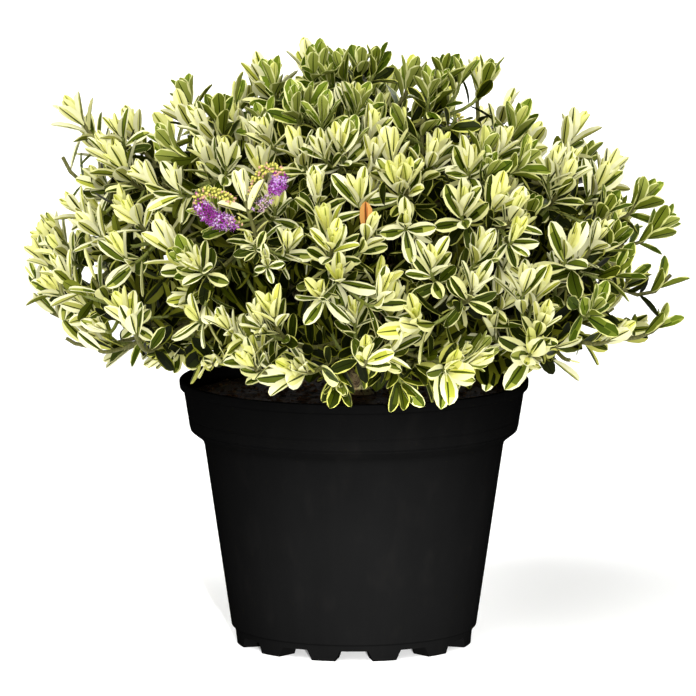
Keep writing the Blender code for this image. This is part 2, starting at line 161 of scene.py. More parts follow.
# %% [markdown]
# ## A finish
#
# A finish is a material with one Principled shader. What is the same all over is set on the
# shader's own sockets. What varies, such as grain, dust or moss, could be painted, but this plant
# has thousands of small surfaces. So it comes from noise on Object coordinates, which stays put on
# a piece, and it feeds Base Color, Roughness or Normal.

# %% Finishes
class Finish:
    """A material with one Principled shader, whose constants are set on its own sockets."""

    def __init__(self, name, colour, roughness, **constants):
        self.material = bpy.data.materials.new(name)
        self.material.use_nodes = True
        self.tree = self.material.node_tree
        self.shader = self.tree.nodes["Principled BSDF"]
        self.shader.inputs["Base Color"].default_value = screen_colour(*colour)
        self.shader.inputs["Roughness"].default_value = roughness
        for socket, value in constants.items():
            self.shader.inputs[socket.replace("_", " ")].default_value = value

    def node(self, kind, settings, sockets, output=0):
        """Adds a node: its settings first, then the values or wires of its sockets."""
        made = self.tree.nodes.new(kind)
        for setting, value in settings.items():
            if setting == "stops":
                ramp = made.color_ramp.elements
                while len(ramp) < len(value):
                    ramp.new(0.5)
                for stop, (place, colour) in zip(ramp, value):
                    stop.position = place
                    stop.color = colour
            else:
                setattr(made, setting, value)
        for socket, value in sockets.items():
            if isinstance(value, Wire):
                self.tree.links.new(value.socket, made.inputs[socket])
            else:
                made.inputs[socket].default_value = value
        return Wire(self, made.outputs[output])

    def place(self, scale=(1, 1, 1)):
        """The point on the piece, in metres from its origin, stretched by a scale."""
        point = self.node("ShaderNodeTexCoord", {}, {}, "Object")
        return self.node("ShaderNodeMapping", {}, {"Vector": point, "Scale": scale})

    def grain(self, size, scale=(1, 1, 1), detail=3.0):
        """Cloudy noise from 0 to 1, whose patches are about this size in metres."""
        values = {"Vector": self.place(scale), "Scale": 1 / size, "Detail": detail}
        return self.node("ShaderNodeTexNoise", {}, values)

    def ramp(self, value, stops):
        """Grey steps between places of a value, as a number again."""
        greys = [(place, (level, level, level, 1)) for place, level in stops]
        return self.node("ShaderNodeValToRGB", {"stops": greys}, {0: value})

    def blend(self, share, first, second):
        """A colour between two, each a screen colour or a wire."""
        pair = [c if isinstance(c, Wire) else screen_colour(*c) for c in (first, second)]
        values = {0: share, 6: pair[0], 7: pair[1]}
        return self.node("ShaderNodeMix", {"data_type": "RGBA"}, values, 2)

    def feed(self, socket, value):
        self.tree.links.new(value.socket, self.shader.inputs[socket])
        return self

    def bump(self, height, depth):
        """Raises the surface by a height from 0 to 1, times a depth in metres."""
        normal = self.node("ShaderNodeBump", {}, {"Height": height, "Distance": depth})
        return self.feed("Normal", normal)


print("finishes that came with the solids:", len(bpy.data.materials))

# %% [markdown]
# ## The rule that the shrub grows by
#
# The solids of the frame came from one rule, and the fine plant follows it: a short main stem,
# thirteen boughs that arch out of it, a stem that goes on through each mass of foliage, and twigs
# that end at tips spread over a dome. A plant could be modelled twig by twig, but a rule with a few
# sizes grows it whole and even on all sides. The sizes below are those of the solids.

# %% Shape of the shrub
CROWN_MIDDLE = Vector((0, 0, 0.235))
CROWN_WIDE = 0.212
CROWN_DEEP = 0.207
CROWN_UP = 0.163
CROWN_DOWN = 0.085
SKIRT_PLACES = ("front", "front_right", "back_right", "back", "back_left", "front_left")
SHOULDER_PLACES = ("right", "back_right", "back_left", "left", "front_left", "front_right")
# Ring, places, first azimuth, height angle, height on the main stem, and rise of the bough
RINGS = (
    ("skirt", SKIRT_PLACES, -90, -7, 0.009, 22),
    ("shoulder", SHOULDER_PLACES, 0, 33, 0.024, 50),
    ("crown", ("top",), 0, 90, 0.042, 90),
)


def way_of(azimuth, height_angle):
    """A unit vector at an azimuth (0 is +X, 90 is +Y) and an angle above the horizon."""
    a, h = math.radians(azimuth), math.radians(height_angle)
    return Vector((math.cos(a) * math.cos(h), math.sin(a) * math.cos(h), math.sin(h)))


def crown_reach(height):
    """How far the dome reaches from its middle, up or down."""
    return CROWN_UP if height > 0 else CROWN_DOWN


def crown_level(point):
    """0 at the crown's middle, 1 on its smooth outline."""
    p = point - CROWN_MIDDLE
    tall = crown_reach(p.z)
    return math.sqrt((p.x / CROWN_WIDE) ** 2 + (p.y / CROWN_DEEP) ** 2 + (p.z / tall) ** 2)


def on_level(way, level):
    """The point in a direction from the crown's middle that lies on a level."""
    return CROWN_MIDDLE + way * (level / crown_level(CROWN_MIDDLE + way))


def masses():
    """Each mass: its name, its way from the crown's middle, its bough's start and its rise."""
    found = []
    for ring, places, first, height_angle, start, rise in RINGS:
        for i, place in enumerate(places):
            azimuth = first + 360 * i / len(places)
            found.append((f"{ring}_{place}", way_of(azimuth, height_angle), start, azimuth, rise))
    return found


MASSES = masses()
print("shrub:", len(MASSES), "masses of foliage on as many boughs")

# %% [markdown]
# ## Places in the picture
#
# Some shoots stand where the photograph shows them. The camera's geometry gives the way from the
# plant to the picture: nearer things look larger, and things further back look higher. The way
# back needs one more fact, that the shoot stands on the dome's front, and a few rounds of the same
# sum settle on that point.

# %% Places in the picture
FRONT_ROUNDS = 12
FRONT_SHARE = 0.96  # of the crown's depth
FRONT_LEAST = 0.02  # least square of the depth, for places past the dome's outline
FRONT_HIGHEST = 1.02  # of the crown's height


def magnified(point):
    """How much larger the camera sees things there than at the point it is aimed at."""
    back = point.y * math.cos(CAMERA_RISE) - (point.z - aim.z) * math.sin(CAMERA_RISE)
    return CAMERA_FAR / (CAMERA_FAR + back)


def on_picture(point):
    """Where the camera sees a point: millimetres across from the pot's axis, and up."""
    large = magnified(point)
    level = point.z - aim.z + point.y * math.tan(CAMERA_RISE)
    return (aim.x + (point.x - aim.x) * large) * 1000, (aim.z + level * large) * 1000


def front_tip(across, up):
    """The point on the dome's front that the camera sees at a place of the picture."""
    point = Vector((across, 0, up)) / 1000
    for _ in range(FRONT_ROUNDS):
        large = magnified(point)
        point.x = aim.x + (across / 1000 - aim.x) / large
        p = point - CROWN_MIDDLE
        left = 1 - (p.x / CROWN_WIDE) ** 2 - (p.z / crown_reach(p.z)) ** 2
        point.y = -FRONT_SHARE * CROWN_DEEP * math.sqrt(max(left, FRONT_LEAST))
        point.z = aim.z + (up / 1000 - aim.z) / large - point.y * math.tan(CAMERA_RISE)
        point.z = min(point.z, CROWN_MIDDLE.z + FRONT_HIGHEST * CROWN_UP)
    return point


print("the middle of the rim in the picture:", [round(x) for x in on_picture(UP * POT_HEIGHT)])

# %% [markdown]
# ## Shoots read from the photograph
#
# The eye knows a plant by its outline and by the rosettes that catch the light. Both could be left
# to chance, as the rest of the crown is, but then this would be any hebe. So the shoots that stand
# out at the sides, on top and at the front have places of their own, in millimetres from the pot's
# axis and from the ground.

# %% Shoots read from the photograph
# On the outline, across and up. The two in blossom also have a depth: one is at the front where
# the photograph shows it, and one on the back is a guess
OUTLINE_SHOOTS = (
    (-189, 364), (-197, 339), (-177, 349), (-207, 281), (-219, 258), (-215, 229), (-202, 217),
    (-167, 174), (-149, 355), (-114, 377), (-62, 391), (-31, 401), (4, 401), (38, 388), (86, 386),
    (111, 361), (150, 350), (174, 325), (197, 308), (210, 290), (217, 262), (214, 230), (196, 210),
    (150, 175),
)
SPIKE_SHOOTS = ((-72, -166, 322), (84, 158, 318))
# Rosettes at the front: millimetres across and up in the picture, sort of leaf, and vigour
FRONT_SHOOTS = (
    (60, 393, "moss", 0.9), (74, 391, "green", 1.0), (90, 391, "moss", 0.9),
    (-27, 396, "green", 0.9), (-10, 396, "green", 0.9), (-118, 366, "cream", 1.0),
    (-106, 358, "cream", 1.0), (-183, 288, "cream", 1.0), (172, 302, "moss", 1.0),
    (177, 282, "moss", 0.9), (182, 262, "moss", 1.0), (-197, 258, "cream", 0.9),
    (11, 287, "yellow", 0.9), (-203, 272, "cream", 1.0), (-190, 300, "cream", 0.9),
    (-206, 246, "cream", 0.9), (-54, 389, "green", 1.0), (-18, 391, "green", 0.9),
    (52, 383, "green", 0.9), (-172, 218, "hanging", 0.8), (-204, 284, "cream", 0.9),
    (-214, 268, "cream", 0.9), (-22, 402, "green", 0.9), (14, 399, "moss", 0.9),
    (-70, 273, "cream", 0.6), (-60, 262, "cream", 0.6), (-162, 352, "cream", 0.9),
    (-170, 340, "cream", 1.0), (-143, 321, "cream", 1.0), (-119, 320, "cream", 1.0),
    (-89, 336, "cream", 1.0), (-158, 275, "cream", 1.1), (-125, 283, "yellow", 1.25),
    (-111, 260, "cream", 0.9), (-160, 233, "yellow", 1.1), (-47, 277, "cream", 1.0),
    (-39, 372, "green", 1.0), (-27, 314, "cream", 1.0), (-21, 366, "green", 1.0),
    (-21, 289, "yellow", 1.1), (3, 373, "green", 0.9), (5, 314, "cream", 1.1),
    (28, 321, "yellow", 1.1), (35, 364, "green", 1.0), (35, 292, "cream", 1.0),
    (-14, 257, "cream", 1.25), (-24, 242, "cream", 1.0), (-62, 226, "cream", 0.9),
    (-88, 221, "cream", 0.9), (43, 228, "yellow", 1.15), (20, 247, "cream", 1.0),
    (-70, 200, "yellow", 1.1), (-42, 192, "cream", 1.3), (68, 200, "yellow", 1.25),
    (124, 210, "cream", 1.25), (118, 251, "cream", 1.15), (166, 237, "green", 1.0),
    (75, 305, "cream", 1.1), (97, 308, "yellow", 1.1), (87, 274, "cream", 1.1),
    (150, 279, "cream", 1.2), (92, 328, "green", 1.0), (136, 332, "cream", 1.0),
    (116, 337, "green", 1.0), (110, 283, "yellow", 0.9), (-8, 170, "shade", 0.90),
    (38, 162, "shade", 1.0), (62, 166, "shade", 1.0), (-98, 188, "hanging", 0.95),
    (11, 355, "cream", 1.1), (-9, 346, "cream", 1.0), (11, 337, "cream", 1.15),
    (28, 344, "yellow", 1.15), (-39, 342, "cream", 1.0), (-22, 340, "cream", 0.9),
    (53, 336, "cream", 0.9), (80, 334, "cream", 1.1), (100, 344, "cream", 0.9),
)
print("shoots read from the photograph:", len(OUTLINE_SHOOTS) + len(FRONT_SHOOTS))

# %% [markdown]
# ## Where the crown is open
#
# Sky shows through the crown at its sides, and the lowest leaves hang before the pot's rim without
# hiding the strip of potting mix. Holes could be cut into a finished crown, but cut leaves look
# cut. So the shoots and leaves that would cover an open place aren't grown at all.

# %% Open places
# Where the crown is open in the picture: across, up, half width, half height, share that stays
THIN_PLACES = (
    (190, 196, 44, 34, 0.30), (-178, 190, 46, 26, 0.40), (52, 357, 34, 12, 0.25),
    (205, 250, 26, 40, 0.35), (-84, 374, 14, 12, 0.0),
    (-140, 372, 40, 26, 0.30), (150, 372, 36, 22, 0.30),
)
# Small patches of sky between the leaves: across, up, and radius
SKY_PATCHES = (
    (30, 361, 3.5), (38, 356, 4.5), (70, 367, 5.0), (68, 352, 5.0), (75, 354, 4.0), (46, 348, 4.0),
    (22, 354, 3.0), (129, 336, 5.0), (122, 322, 4.0), (150, 263, 4.0), (190, 254, 6.0),
    (183, 247, 4.0), (176, 222, 7.0), (153, 208, 6.0), (138, 190, 6.0), (126, 239, 3.0),
    (-95, 194, 4.0), (-112, 212, 4.0), (-157, 208, 6.0), (-144, 200, 6.0), (-185, 196, 8.0),
    (-176, 246, 4.0), (-208, 222, 5.0),
    (-197, 322, 8.0), (213, 246, 6.0), (-86, 376, 9.0), (98, 368, 6.0), (212, 222, 7.0),
)
# The crown's underside: its height over the pot, where it begins to rise, and how steeply
UNDERSIDE_HEIGHT = 0.158
UNDERSIDE_FROM = 0.085
UNDERSIDE_RISE = 0.50
UNDERSIDE_LIFT = 0.60  # share by which twigs that end below it are lifted to it
# The lowest that leaves hang in front of the pot, in the picture, and where the mix shows
FRINGE_UP = 158
FRINGE_HALF = 118
BARE_FRINGE = (-62, 168, 46, 11)
FRINGE_LIFT = 0.004
FRINGE_FRONT = -0.06  # only leaves nearer to the camera than this can hang before the pot


def in_oval(x, z, across, up, wide, tall):
    return ((x - across) / wide) ** 2 + ((z - up) / tall) ** 2 < 1


def underside(point):
    """The height of the crown's underside: level over the pot, and rising outside it."""
    return UNDERSIDE_HEIGHT + UNDERSIDE_RISE * max(0, math.hypot(point.x, point.y) - UNDERSIDE_FROM)


def before_pot(point):
    """Whether a leaf there would hang before the pot, or hide the mix that the picture shows."""
    x, z = on_picture(point)
    bare = in_oval(x, z, *BARE_FRINGE)
    return point.y < FRINGE_FRONT and (bare or (abs(x) < FRINGE_HALF and z < FRINGE_UP))


def share_that_stays(tip):
    """1 where the crown is dense, less where the photograph shows it open."""
    x, z = on_picture(tip)
    return min((share for *oval, share in THIN_PLACES if in_oval(x, z, *oval)), default=1)


def in_sky(point):
    """Whether a leaf there would cover a patch of sky that the photograph shows."""
    x, z = on_picture(point)
    return any((x - across) ** 2 + (z - up) ** 2 < size**2 for across, up, size in SKY_PATCHES)


print("open places:", len(THIN_PLACES), "thin and", len(SKY_PATCHES), "of sky")

# %% [markdown]
# ## Where the shoots end
#
# Shoots crowd evenly over a dome without lining up. The golden angle does that: each next shoot
# turns by 137.5 degrees and moves down a little, like the seeds of a sunflower. Places drawn by
# chance alone would leave bald spots and knots. Shoots of the outer layer keep clear of those read
# from the photograph. Two more layers lie further in, so that the dark between the rosettes is
# leaves and not sky.

# %% Tips of the shoots
GOLDEN_TURN = math.pi * (3 - math.sqrt(5))
TURN_STRAY = 0.10  # radians
# Layers of the dome: shoots tried, greatest and least level, lowest height, clearance, vigour
DOME_LAYERS = (
    ("outer", 360, 0.97, 0.82, -0.66, 0.0250, (0.80, 1.15)),
    ("middle", 200, 0.78, 0.70, -0.60, 0.020, (0.95, 1.25)),
    ("inner", 110, 0.60, 0.52, -0.50, 0.018, (1.05, 1.35)),
)
CROWDING = 1.25
COARSE_TIPS = 88
COARSE_LOWEST = -0.72
COARSE_CLEAR = 0.036
COARSE_LEVELS = (0.95, 1.0)
OUTLINE_STRAY = 0.022  # before or behind the crown's middle plane
LEAF_HANG = 0.012  # how far a shoot's leaves hang below its tip


def dome_ways(count, lowest, rng):
    """Offsets from the crown's middle to points spread over its outline."""
    for k in range(count):
        share = 1 - (1 - lowest) * ((k + 0.5) / count) ** CROWDING
        turn = k * GOLDEN_TURN + rng.uniform(-TURN_STRAY, TURN_STRAY)
        ring = math.sqrt(1 - share * share)
        x, y = CROWN_WIDE * ring * math.cos(turn), CROWN_DEEP * ring * math.sin(turn)
        yield Vector((x, y, crown_reach(share) * share))


def clear_of(tip, others, distance):
    return all((tip - other).length > distance for other in others)


def lift(tip):
    """Moves a tip below the crown's underside up by a share of what it lacks."""
    tip.z += UNDERSIDE_LIFT * max(0, underside(tip) - tip.z)


def coarse_tips():
    """The tips of the solids' own twigs: in blossom, on the outline, and over the dome."""
    rng = random.Random(11)
    tips = [Vector(tip) / 1000 for tip in SPIKE_SHOOTS]
    for across, up in OUTLINE_SHOOTS:
        tip = Vector((across / 1000, rng.uniform(-OUTLINE_STRAY, OUTLINE_STRAY), up / 1000))
        lift(tip)
        tips.append(tip)
    named = list(tips)
    for off in dome_ways(COARSE_TIPS, COARSE_LOWEST, rng):
        tip = CROWN_MIDDLE + off * rng.uniform(*COARSE_LEVELS)
        if clear_of(tip, named, COARSE_CLEAR):
            lift(tip)
            while before_pot(tip - UP * LEAF_HANG):
                tip.z += FRINGE_LIFT
            tips.append(tip)
    return tips


def fine_tips(taken):
    """The finer shoots' tips, each with its layer, sort of leaf or None, and vigour."""
    found = [("outer", front_tip(x, z), sort, vigour) for x, z, sort, vigour in FRONT_SHOOTS]
    rng = random.Random(23)
    for layer, count, most, least, lowest, clear, vigours in DOME_LAYERS:
        near = [tip for name, tip, _, _ in found if name == layer]
        near += taken if layer == "outer" else []
        for off in dome_ways(count, lowest, rng):
            tip = CROWN_MIDDLE + off * rng.uniform(least, most)
            hidden = tip.z < underside(tip) or before_pot(tip - UP * LEAF_HANG)
            if clear_of(tip, near, clear) and rng.random() < share_that_stays(tip) and not hidden:
                found.append((layer, tip, None, rng.uniform(*vigours)))
    return found


COARSE = coarse_tips()
FINE = fine_tips(COARSE)
print("tips:", len(COARSE), "coarse and", len(FINE), "fine")

# %% [markdown]
# ## Curves that limbs follow
#
# A limb leaves its parent in one direction and reaches its end in another. A Blender curve could
# join the two, but the leaves need the points too. So the cubic Bezier is worked out here, and its
# two pulls say how far each direction holds.

# %% Curves
def bezier_points(start, start_way, end, end_way, steps, pull=0.36, end_pull=0.36):
    reach = (end - start).length
    near, far = start + start_way * reach * pull, end - end_way * reach * end_pull
    points = []
    for i in range(steps + 1):
        t = i / steps
        s = 1 - t
        points.append(start * s**3 + near * 3 * s * s * t + far * 3 * s * t * t + end * t**3)
    return points


def square_to(way):
    """A unit vector at right angles to a way."""
    other = UP if abs(way.z) < 0.9 else Vector((1, 0, 0))
    return way.cross(other).normalized()


def down_path(path, back):
    """The point at a distance back along a path from its end, and the direction there."""
    for near, far in zip(path[-2::-1], path[:0:-1]):
        step = far - near
        if back <= step.length:
            return far - step.normalized() * back, step.normalized()
        back -= step.length
    return None


bend = bezier_points(Vector((0, 0, 0)), UP, Vector((1, 0, 1)), Vector((1, 0, 0)), 2)
print("a bend from upright to level:", [tuple(round(x, 2) for x in p.xz) for p in bend])

# %% [markdown]
# ## Twigs
#
# A coarse twig leaves the stem of its mass and arches to its tip, as in the solids. A fine shoot
# leaves the nearest coarse twig below its own tip, first along that twig and then up to the light.
# Low twigs are straighter, because long ones would sag in a curve that the real, stiff wood
# doesn't make. All of them are kept as lists of points.

# %% Shoots
MASS_STEM_RADII = (0.0021, 0.0017)
TWIG_RADII = (0.0017, 0.0013)
BLOOM_RADII = (0.0019, 0.0016)
SHOOT_RADII = (0.0014, 0.0011)
TIP_LEAF = 0.019  # how far the youngest leaves reach past the growing point
LIFT = 1.45  # how strongly a shoot turns up, against how strongly it points outwards
LIFT_FADES = 8  # how fast that fades on shoots that point below the horizon
LIFT_STRAY = 0.35
# How far the last bend reaches back, as a share of the twig: least below the first height, most
# above the second
SAG_HEIGHTS = (0.205, 0.265)
COARSE_BENDS = (0.14, 0.50)
FINE_BENDS = (0.18, 0.55)


class Shoot:
    """A leafy shoot: its points from root to growing point, and what grows on it."""

    def __init__(self, path, radii, mass, layer, sort, vigour):
        self.path = path
        self.radii = radii
        self.mass = mass
        self.layer = layer
        self.sort = sort
        self.vigour = vigour

    def at(self, share):
        """The point and the direction at a share of the way along the path."""
        place = min(share, 0.999) * (len(self.path) - 1)
        i = int(place)
        step = self.path[i + 1] - self.path[i]
        return self.path[i].lerp(self.path[i + 1], place - i), step.normalized()


def within(value, least=0.0, most=1.0):
    return min(most, max(least, value))


def last_bend(tip, bends):
    """How far back the last bend of a twig reaches, by the height of its tip."""
    low, high = SAG_HEIGHTS
    share = within((tip.z - low) / (high - low))
    return bends[0] + (bends[1] - bends[0]) * share


def home_of(tip):
    """The number of the mass whose way is nearest to a tip's."""
    return max(range(len(MASSES)), key=lambda m: (tip - CROWN_MIDDLE).dot(MASSES[m][1]))


def shoot_way(arm, wobble, loose):
    """Shoots point away from the crown's middle and turn up to the light."""
    out = arm.normalized()
    lift = LIFT if out.z > 0 else max(0, LIFT + out.z * LIFT_FADES)
    return (out + UP * lift * (1 + LIFT_STRAY * wobble.x) + wobble * loose).normalized()


homes = [home_of(tip) for tip in COARSE]
print("coarse tips in each mass:", [homes.count(mass) for mass in range(len(MASSES))])

# %% [markdown]
# ## From the stems of the masses to the solids' tips
#
# Each mass has a stem that goes on from its bough's tip, and a coarse twig roots the further along
# it the straighter ahead its own tip lies. The shoots in flower are taller, lean like those in the
# photograph, and end in a straight stalk that the spikes can leave.

# %% Coarse twigs
CROWN_HEART = 0.48  # the level where the boughs end
HUB_LEVEL = 0.70  # and where the stems of the masses end
GAP = 0.0003  # between touching solids
MASS_STEM_STEPS = 6
ROOT_SHARES = (0.25, 0.97)  # of the mass's stem
ROOT_ANGLE = 0.55
COARSE_STEPS = 10
COARSE_PULL = 0.32
COARSE_STRAY = 0.10
COARSE_VIGOURS = (0.9, 1.1)
BLOOM_STEPS = 9
BLOOM_RISE = 0.0085  # a shoot in flower has grown taller
BLOOM_STALK = 0.026  # and its last stretch is straight
BLOOM_SHIFT = 0.0012
# The way of the last stretch of a shoot in flower and of its stalk: to the right, outwards and up
BLOOM_WAY = (-0.22, 0.30, 0.93)
STALK_WAY = (-0.28, 0.16, 0.95)


def bough_end(way):
    return on_level(way, CROWN_HEART)


def bough_last_way(way):
    return (way + UP * 0.25).normalized()


def mass_stem(way):
    """The stem that goes on from a bough through its mass, as a list of points."""
    last_way = bough_last_way(way)
    start = bough_end(way) - last_way * 2 * GAP
    return bezier_points(start, last_way, on_level(way, HUB_LEVEL), way, MASS_STEM_STEPS)


def random_ball(rng):
    return Vector((rng.uniform(-1, 1), rng.uniform(-1, 1), rng.uniform(-0.5, 1)))


def sides_of(tip):
    """To the right and outwards, for someone who faces a tip at the front or at the back."""
    front = 1 if tip.y < 0 else -1
    return Vector((front, 0, 0)), Vector((0, -front, 0))


def leaning(right, out, shares):
    """A unit vector by its shares to the right, outwards and up."""
    return (right * shares[0] + out * shares[1] + UP * shares[2]).normalized()


def coarse_shoot(tip, stems, rng, blooms):
    """A twig from its mass's stem to a tip of the solids."""
    mass = home_of(tip)
    way, stem = MASSES[mass][1], stems[mass]
    arm = tip - CROWN_MIDDLE
    shoot = shoot_way(arm, random_ball(rng), COARSE_STRAY)
    if blooms:
        right, out = sides_of(tip)
        shoot = leaning(right, out, BLOOM_WAY)
        tip = tip + UP * BLOOM_RISE - right * BLOOM_SHIFT
    end = tip - shoot * TIP_LEAF
    place = within(1 - arm.angle(way) / ROOT_ANGLE, *ROOT_SHARES) * MASS_STEM_STEPS
    at = min(int(place), MASS_STEM_STEPS - 1)
    root = stem[at].lerp(stem[at + 1], place - at)
    root_way = (stem[at + 1] - stem[at]).normalized()
    if blooms:
        stalk = leaning(right, out, STALK_WAY)
        foot = end - stalk * BLOOM_STALK
        path = bezier_points(root, root_way, foot, stalk, BLOOM_STEPS)
        path += [end - stalk * BLOOM_STALK / 2, end]
        return Shoot(path, BLOOM_RADII, mass, "outer", "bloom", 1.0)
    pulls = COARSE_PULL, last_bend(tip, COARSE_BENDS)
    path = bezier_points(root, root_way, end, shoot, COARSE_STEPS, *pulls)
    sort = "hanging" if tip.z < underside(tip) else None
    return Shoot(path, TWIG_RADII, mass, "outer", sort, rng.uniform(*COARSE_VIGOURS))


shoot_rng = random.Random(5)
STEMS = [mass_stem(mass[1]) for mass in MASSES]
COARSE_SHOOTS = [
    coarse_shoot(tip, STEMS, shoot_rng, i < len(SPIKE_SHOOTS)) for i, tip in enumerate(COARSE)
]
print("coarse twigs:", len(COARSE_SHOOTS), "on", len(STEMS), "stems")

# %% [markdown]
# ## Finer shoots
#
# Each fine shoot picks the place on a coarse twig that costs least: a short way there, without a
# sharp turn. It leaves that twig nearly along it, as young wood does, and then bends to its tip.

# %% Fine shoots
SHARE_STEPS = (0.30, 0.42, 0.54, 0.66, 0.78)  # of the coarse twig, where a shoot may leave it
LEAST_REACH = 0.022
TURN_COST = 0.02
FORK_PULL = 0.6  # how far a shoot turns to its tip as it leaves the twig
FINE_STEPS = 7
FINE_PULL = 0.25
FINE_STRAY = 0.22


def fine_shoot(layer, tip, sort, vigour, parents, rng):
    """A finer shoot, which leaves the parent that passes nearest below its tip."""
    shoot = shoot_way(tip - CROWN_MIDDLE, random_ball(rng), FINE_STRAY)
    end = tip - shoot * TIP_LEAF * vigour
    best = None
    for parent in parents:
        for share in SHARE_STEPS:
            root, way = parent.at(share)
            reach = (end - root).length
            cost = reach + TURN_COST * (1 - (end - root).normalized().dot(way))
            if reach > LEAST_REACH and (best is None or cost < best[0]):
                best = (cost, root, way, parent)
    _, root, way, parent = best
    out = (way + (end - root).normalized() * FORK_PULL).normalized()
    pulls = FINE_PULL, last_bend(tip, FINE_BENDS)
    path = bezier_points(root, out, end, shoot, FINE_STEPS, *pulls)
    return Shoot(path, SHOOT_RADII, parent.mass, layer, sort, vigour)


FINE_SHOOTS = [fine_shoot(*tip, COARSE_SHOOTS, shoot_rng) for tip in FINE]
SHOOTS = COARSE_SHOOTS + FINE_SHOOTS
print("shoots:", len(SHOOTS))

# %% [markdown]
# ## The course of the flower spikes
#
# Each shoot in flower bears two spikes, left and right. Both leave the stem below the top leaves,
# lean out and hook back over themselves. Their course was read from the photograph, as offsets
# from the shoot's tip in millimetres: to the right, up, and outwards.

# %% Course of the spikes
SPIKE_COURSES = (
    (
        (0, -31, 0), (-5.5, -31, 2), (-12, -29, 4), (-18, -25, 6), (-22, -20.5, 7), (-24, -16, 8),
        (-22.5, -12, 8), (-17.5, -10.5, 7), (-12, -12, 6), (-6.5, -14.5, 4), (-2.5, -17.5, 3),
    ),
    (
        (12.5, -21.5, 1), (16, -20, 2), (19.5, -16.5, 3), (22.5, -12.5, 4), (25, -8, 5), (27, -4, 6),
        (27, 1, 6), (24.5, 4, 6), (20.5, 5, 5), (16.5, 2.5, 4), (13.5, -1.5, 3), (11, -6, 2),
        (10, -10.5, 1), (10.5, -14, 0),
    ),
)
SPIKE_ROOTS = (0.0125, 0.008)  # below the growing point
SPIKE_STEPS = 5


def length_of(path):
    return sum((b - a).length for a, b in zip(path, path[1:]))


def smooth_line(points, steps):
    """A rounded line through points, each stretch cut in steps."""
    line = []
    padded = [points[0]] + points + [points[-1]]
    for a, b, c, d in zip(padded, padded[1:], padded[2:], padded[3:]):
        for i in range(steps):
            t = i / steps
            line.append(
                b + (c - a) * (t / 2) + (a * 2 - b * 5 + c * 4 - d) * (t * t / 2)
                + (b * 3 - a - c * 3 + d) * (t * t * t / 2)
            )
    return line + [points[-1]]


def spike_lines():
    """The middle line of each spike, from its root on the shoot to its last bud."""
    lines = []
    for shoot in COARSE_SHOOTS[: len(SPIKE_SHOOTS)]:
        tip = shoot.path[-1] + (shoot.path[-1] - shoot.path[-2]).normalized() * TIP_LEAF
        right, out = sides_of(tip)
        for course, below in zip(SPIKE_COURSES, SPIKE_ROOTS):
            points = [down_path(shoot.path, below)[0]]
            points += [tip + (right * x + UP * z + out * y) / 1000 for x, z, y in course]
            lines.append(smooth_line(points, SPIKE_STEPS))
    return lines


SPIKES = spike_lines()
print("spikes:", [round(length_of(line), 3) for line in SPIKES], "m")

# %% [markdown]
# ## Geometry Nodes
#
# What repeats is made by Geometry Nodes: leaves, florets and crumbs are instances picked from a few
# forms, and twigs are curves swept with a circle. The same could be done with copies in Python, but
# the nodes do it in one pass for thousands of them. The class below writes a tree of nodes with
# named inputs. The tree ends in Realize Instances and Set Material, so that what comes out is a
# plain mesh with its finishes on it.

# %% A tree of nodes
class NodeTree:
    """A Geometry Nodes tree with named inputs and one geometry output."""

    def __init__(self, name):
        self.group = bpy.data.node_groups.new(name, "GeometryNodeTree")
        for side in ("INPUT", "OUTPUT"):
            self.group.interface.new_socket(
                "Geometry", in_out=side, socket_type="NodeSocketGeometry"
            )
        self.entry = self.group.nodes.new("NodeGroupInput")

    def take(self, name, kind):
        """Adds a named input and returns its socket."""
        self.group.interface.new_socket(name, in_out="INPUT", socket_type=kind)
        return self.entry.outputs[name]

    def node(self, kind, settings, sockets, output=None):
        """Adds a node: settings first, then values or links of its sockets that are in use."""
        made = self.group.nodes.new(kind)
        for setting, value in settings.items():
            setattr(made, setting, value)
        for name, value in sockets.items():
            socket = self.pick(made.inputs, name)
            if isinstance(value, bpy.types.NodeSocket):
                self.group.links.new(value, socket)
            else:
                socket.default_value = value
        return self.pick(made.outputs, output)

    def pick(self, sockets, name):
        """The socket in use with this name or number, or the first one in use."""
        if isinstance(name, int):
            return sockets[name]
        return next(s for s in sockets if s.enabled and name in (None, s.name))

    def attribute(self, name, kind):
        read = "GeometryNodeInputNamedAttribute"
        return self.node(read, {"data_type": kind}, {"Name": name}, "Attribute")

    def finishes(self, geometry, attribute, materials):
        """Realize Instances, then one Set Material for each value of a whole-number attribute."""
        geometry = self.node("GeometryNodeRealizeInstances", {}, {"Geometry": geometry})
        for number, material in enumerate(materials):
            equal = {"data_type": "INT", "operation": "EQUAL"}
            pair = {"A": self.attribute(attribute, "INT"), "B": number}
            chosen = self.node("FunctionNodeCompare", equal, pair)
            worn = {"Geometry": geometry, "Selection": chosen, "Material": material}
            geometry = self.node("GeometryNodeSetMaterial", {}, worn)
        leave = self.group.nodes.new("NodeGroupOutput")
        self.group.links.new(geometry, leave.inputs["Geometry"])
        return self

    def run(self, name, mesh, **values):
        """Runs the tree on a mesh and returns a new object with the plain mesh that comes out."""
        made = add_object(name, mesh)
        modifier = made.modifiers.new("Grow", "NODES")
        modifier.node_group = self.group
        for socket in self.group.interface.items_tree:
            if socket.in_out == "INPUT" and socket.name in values:
                modifier[socket.identifier] = values[socket.name]
        graph = bpy.context.evaluated_depsgraph_get()
        result = bpy.data.meshes.new_from_object(
            made.evaluated_get(graph), preserve_all_data_layers=True, depsgraph=graph
        )
        made.modifiers.remove(modifier)
        made.data = result
        result.name = name
        keep_worn_materials(result)
        return made


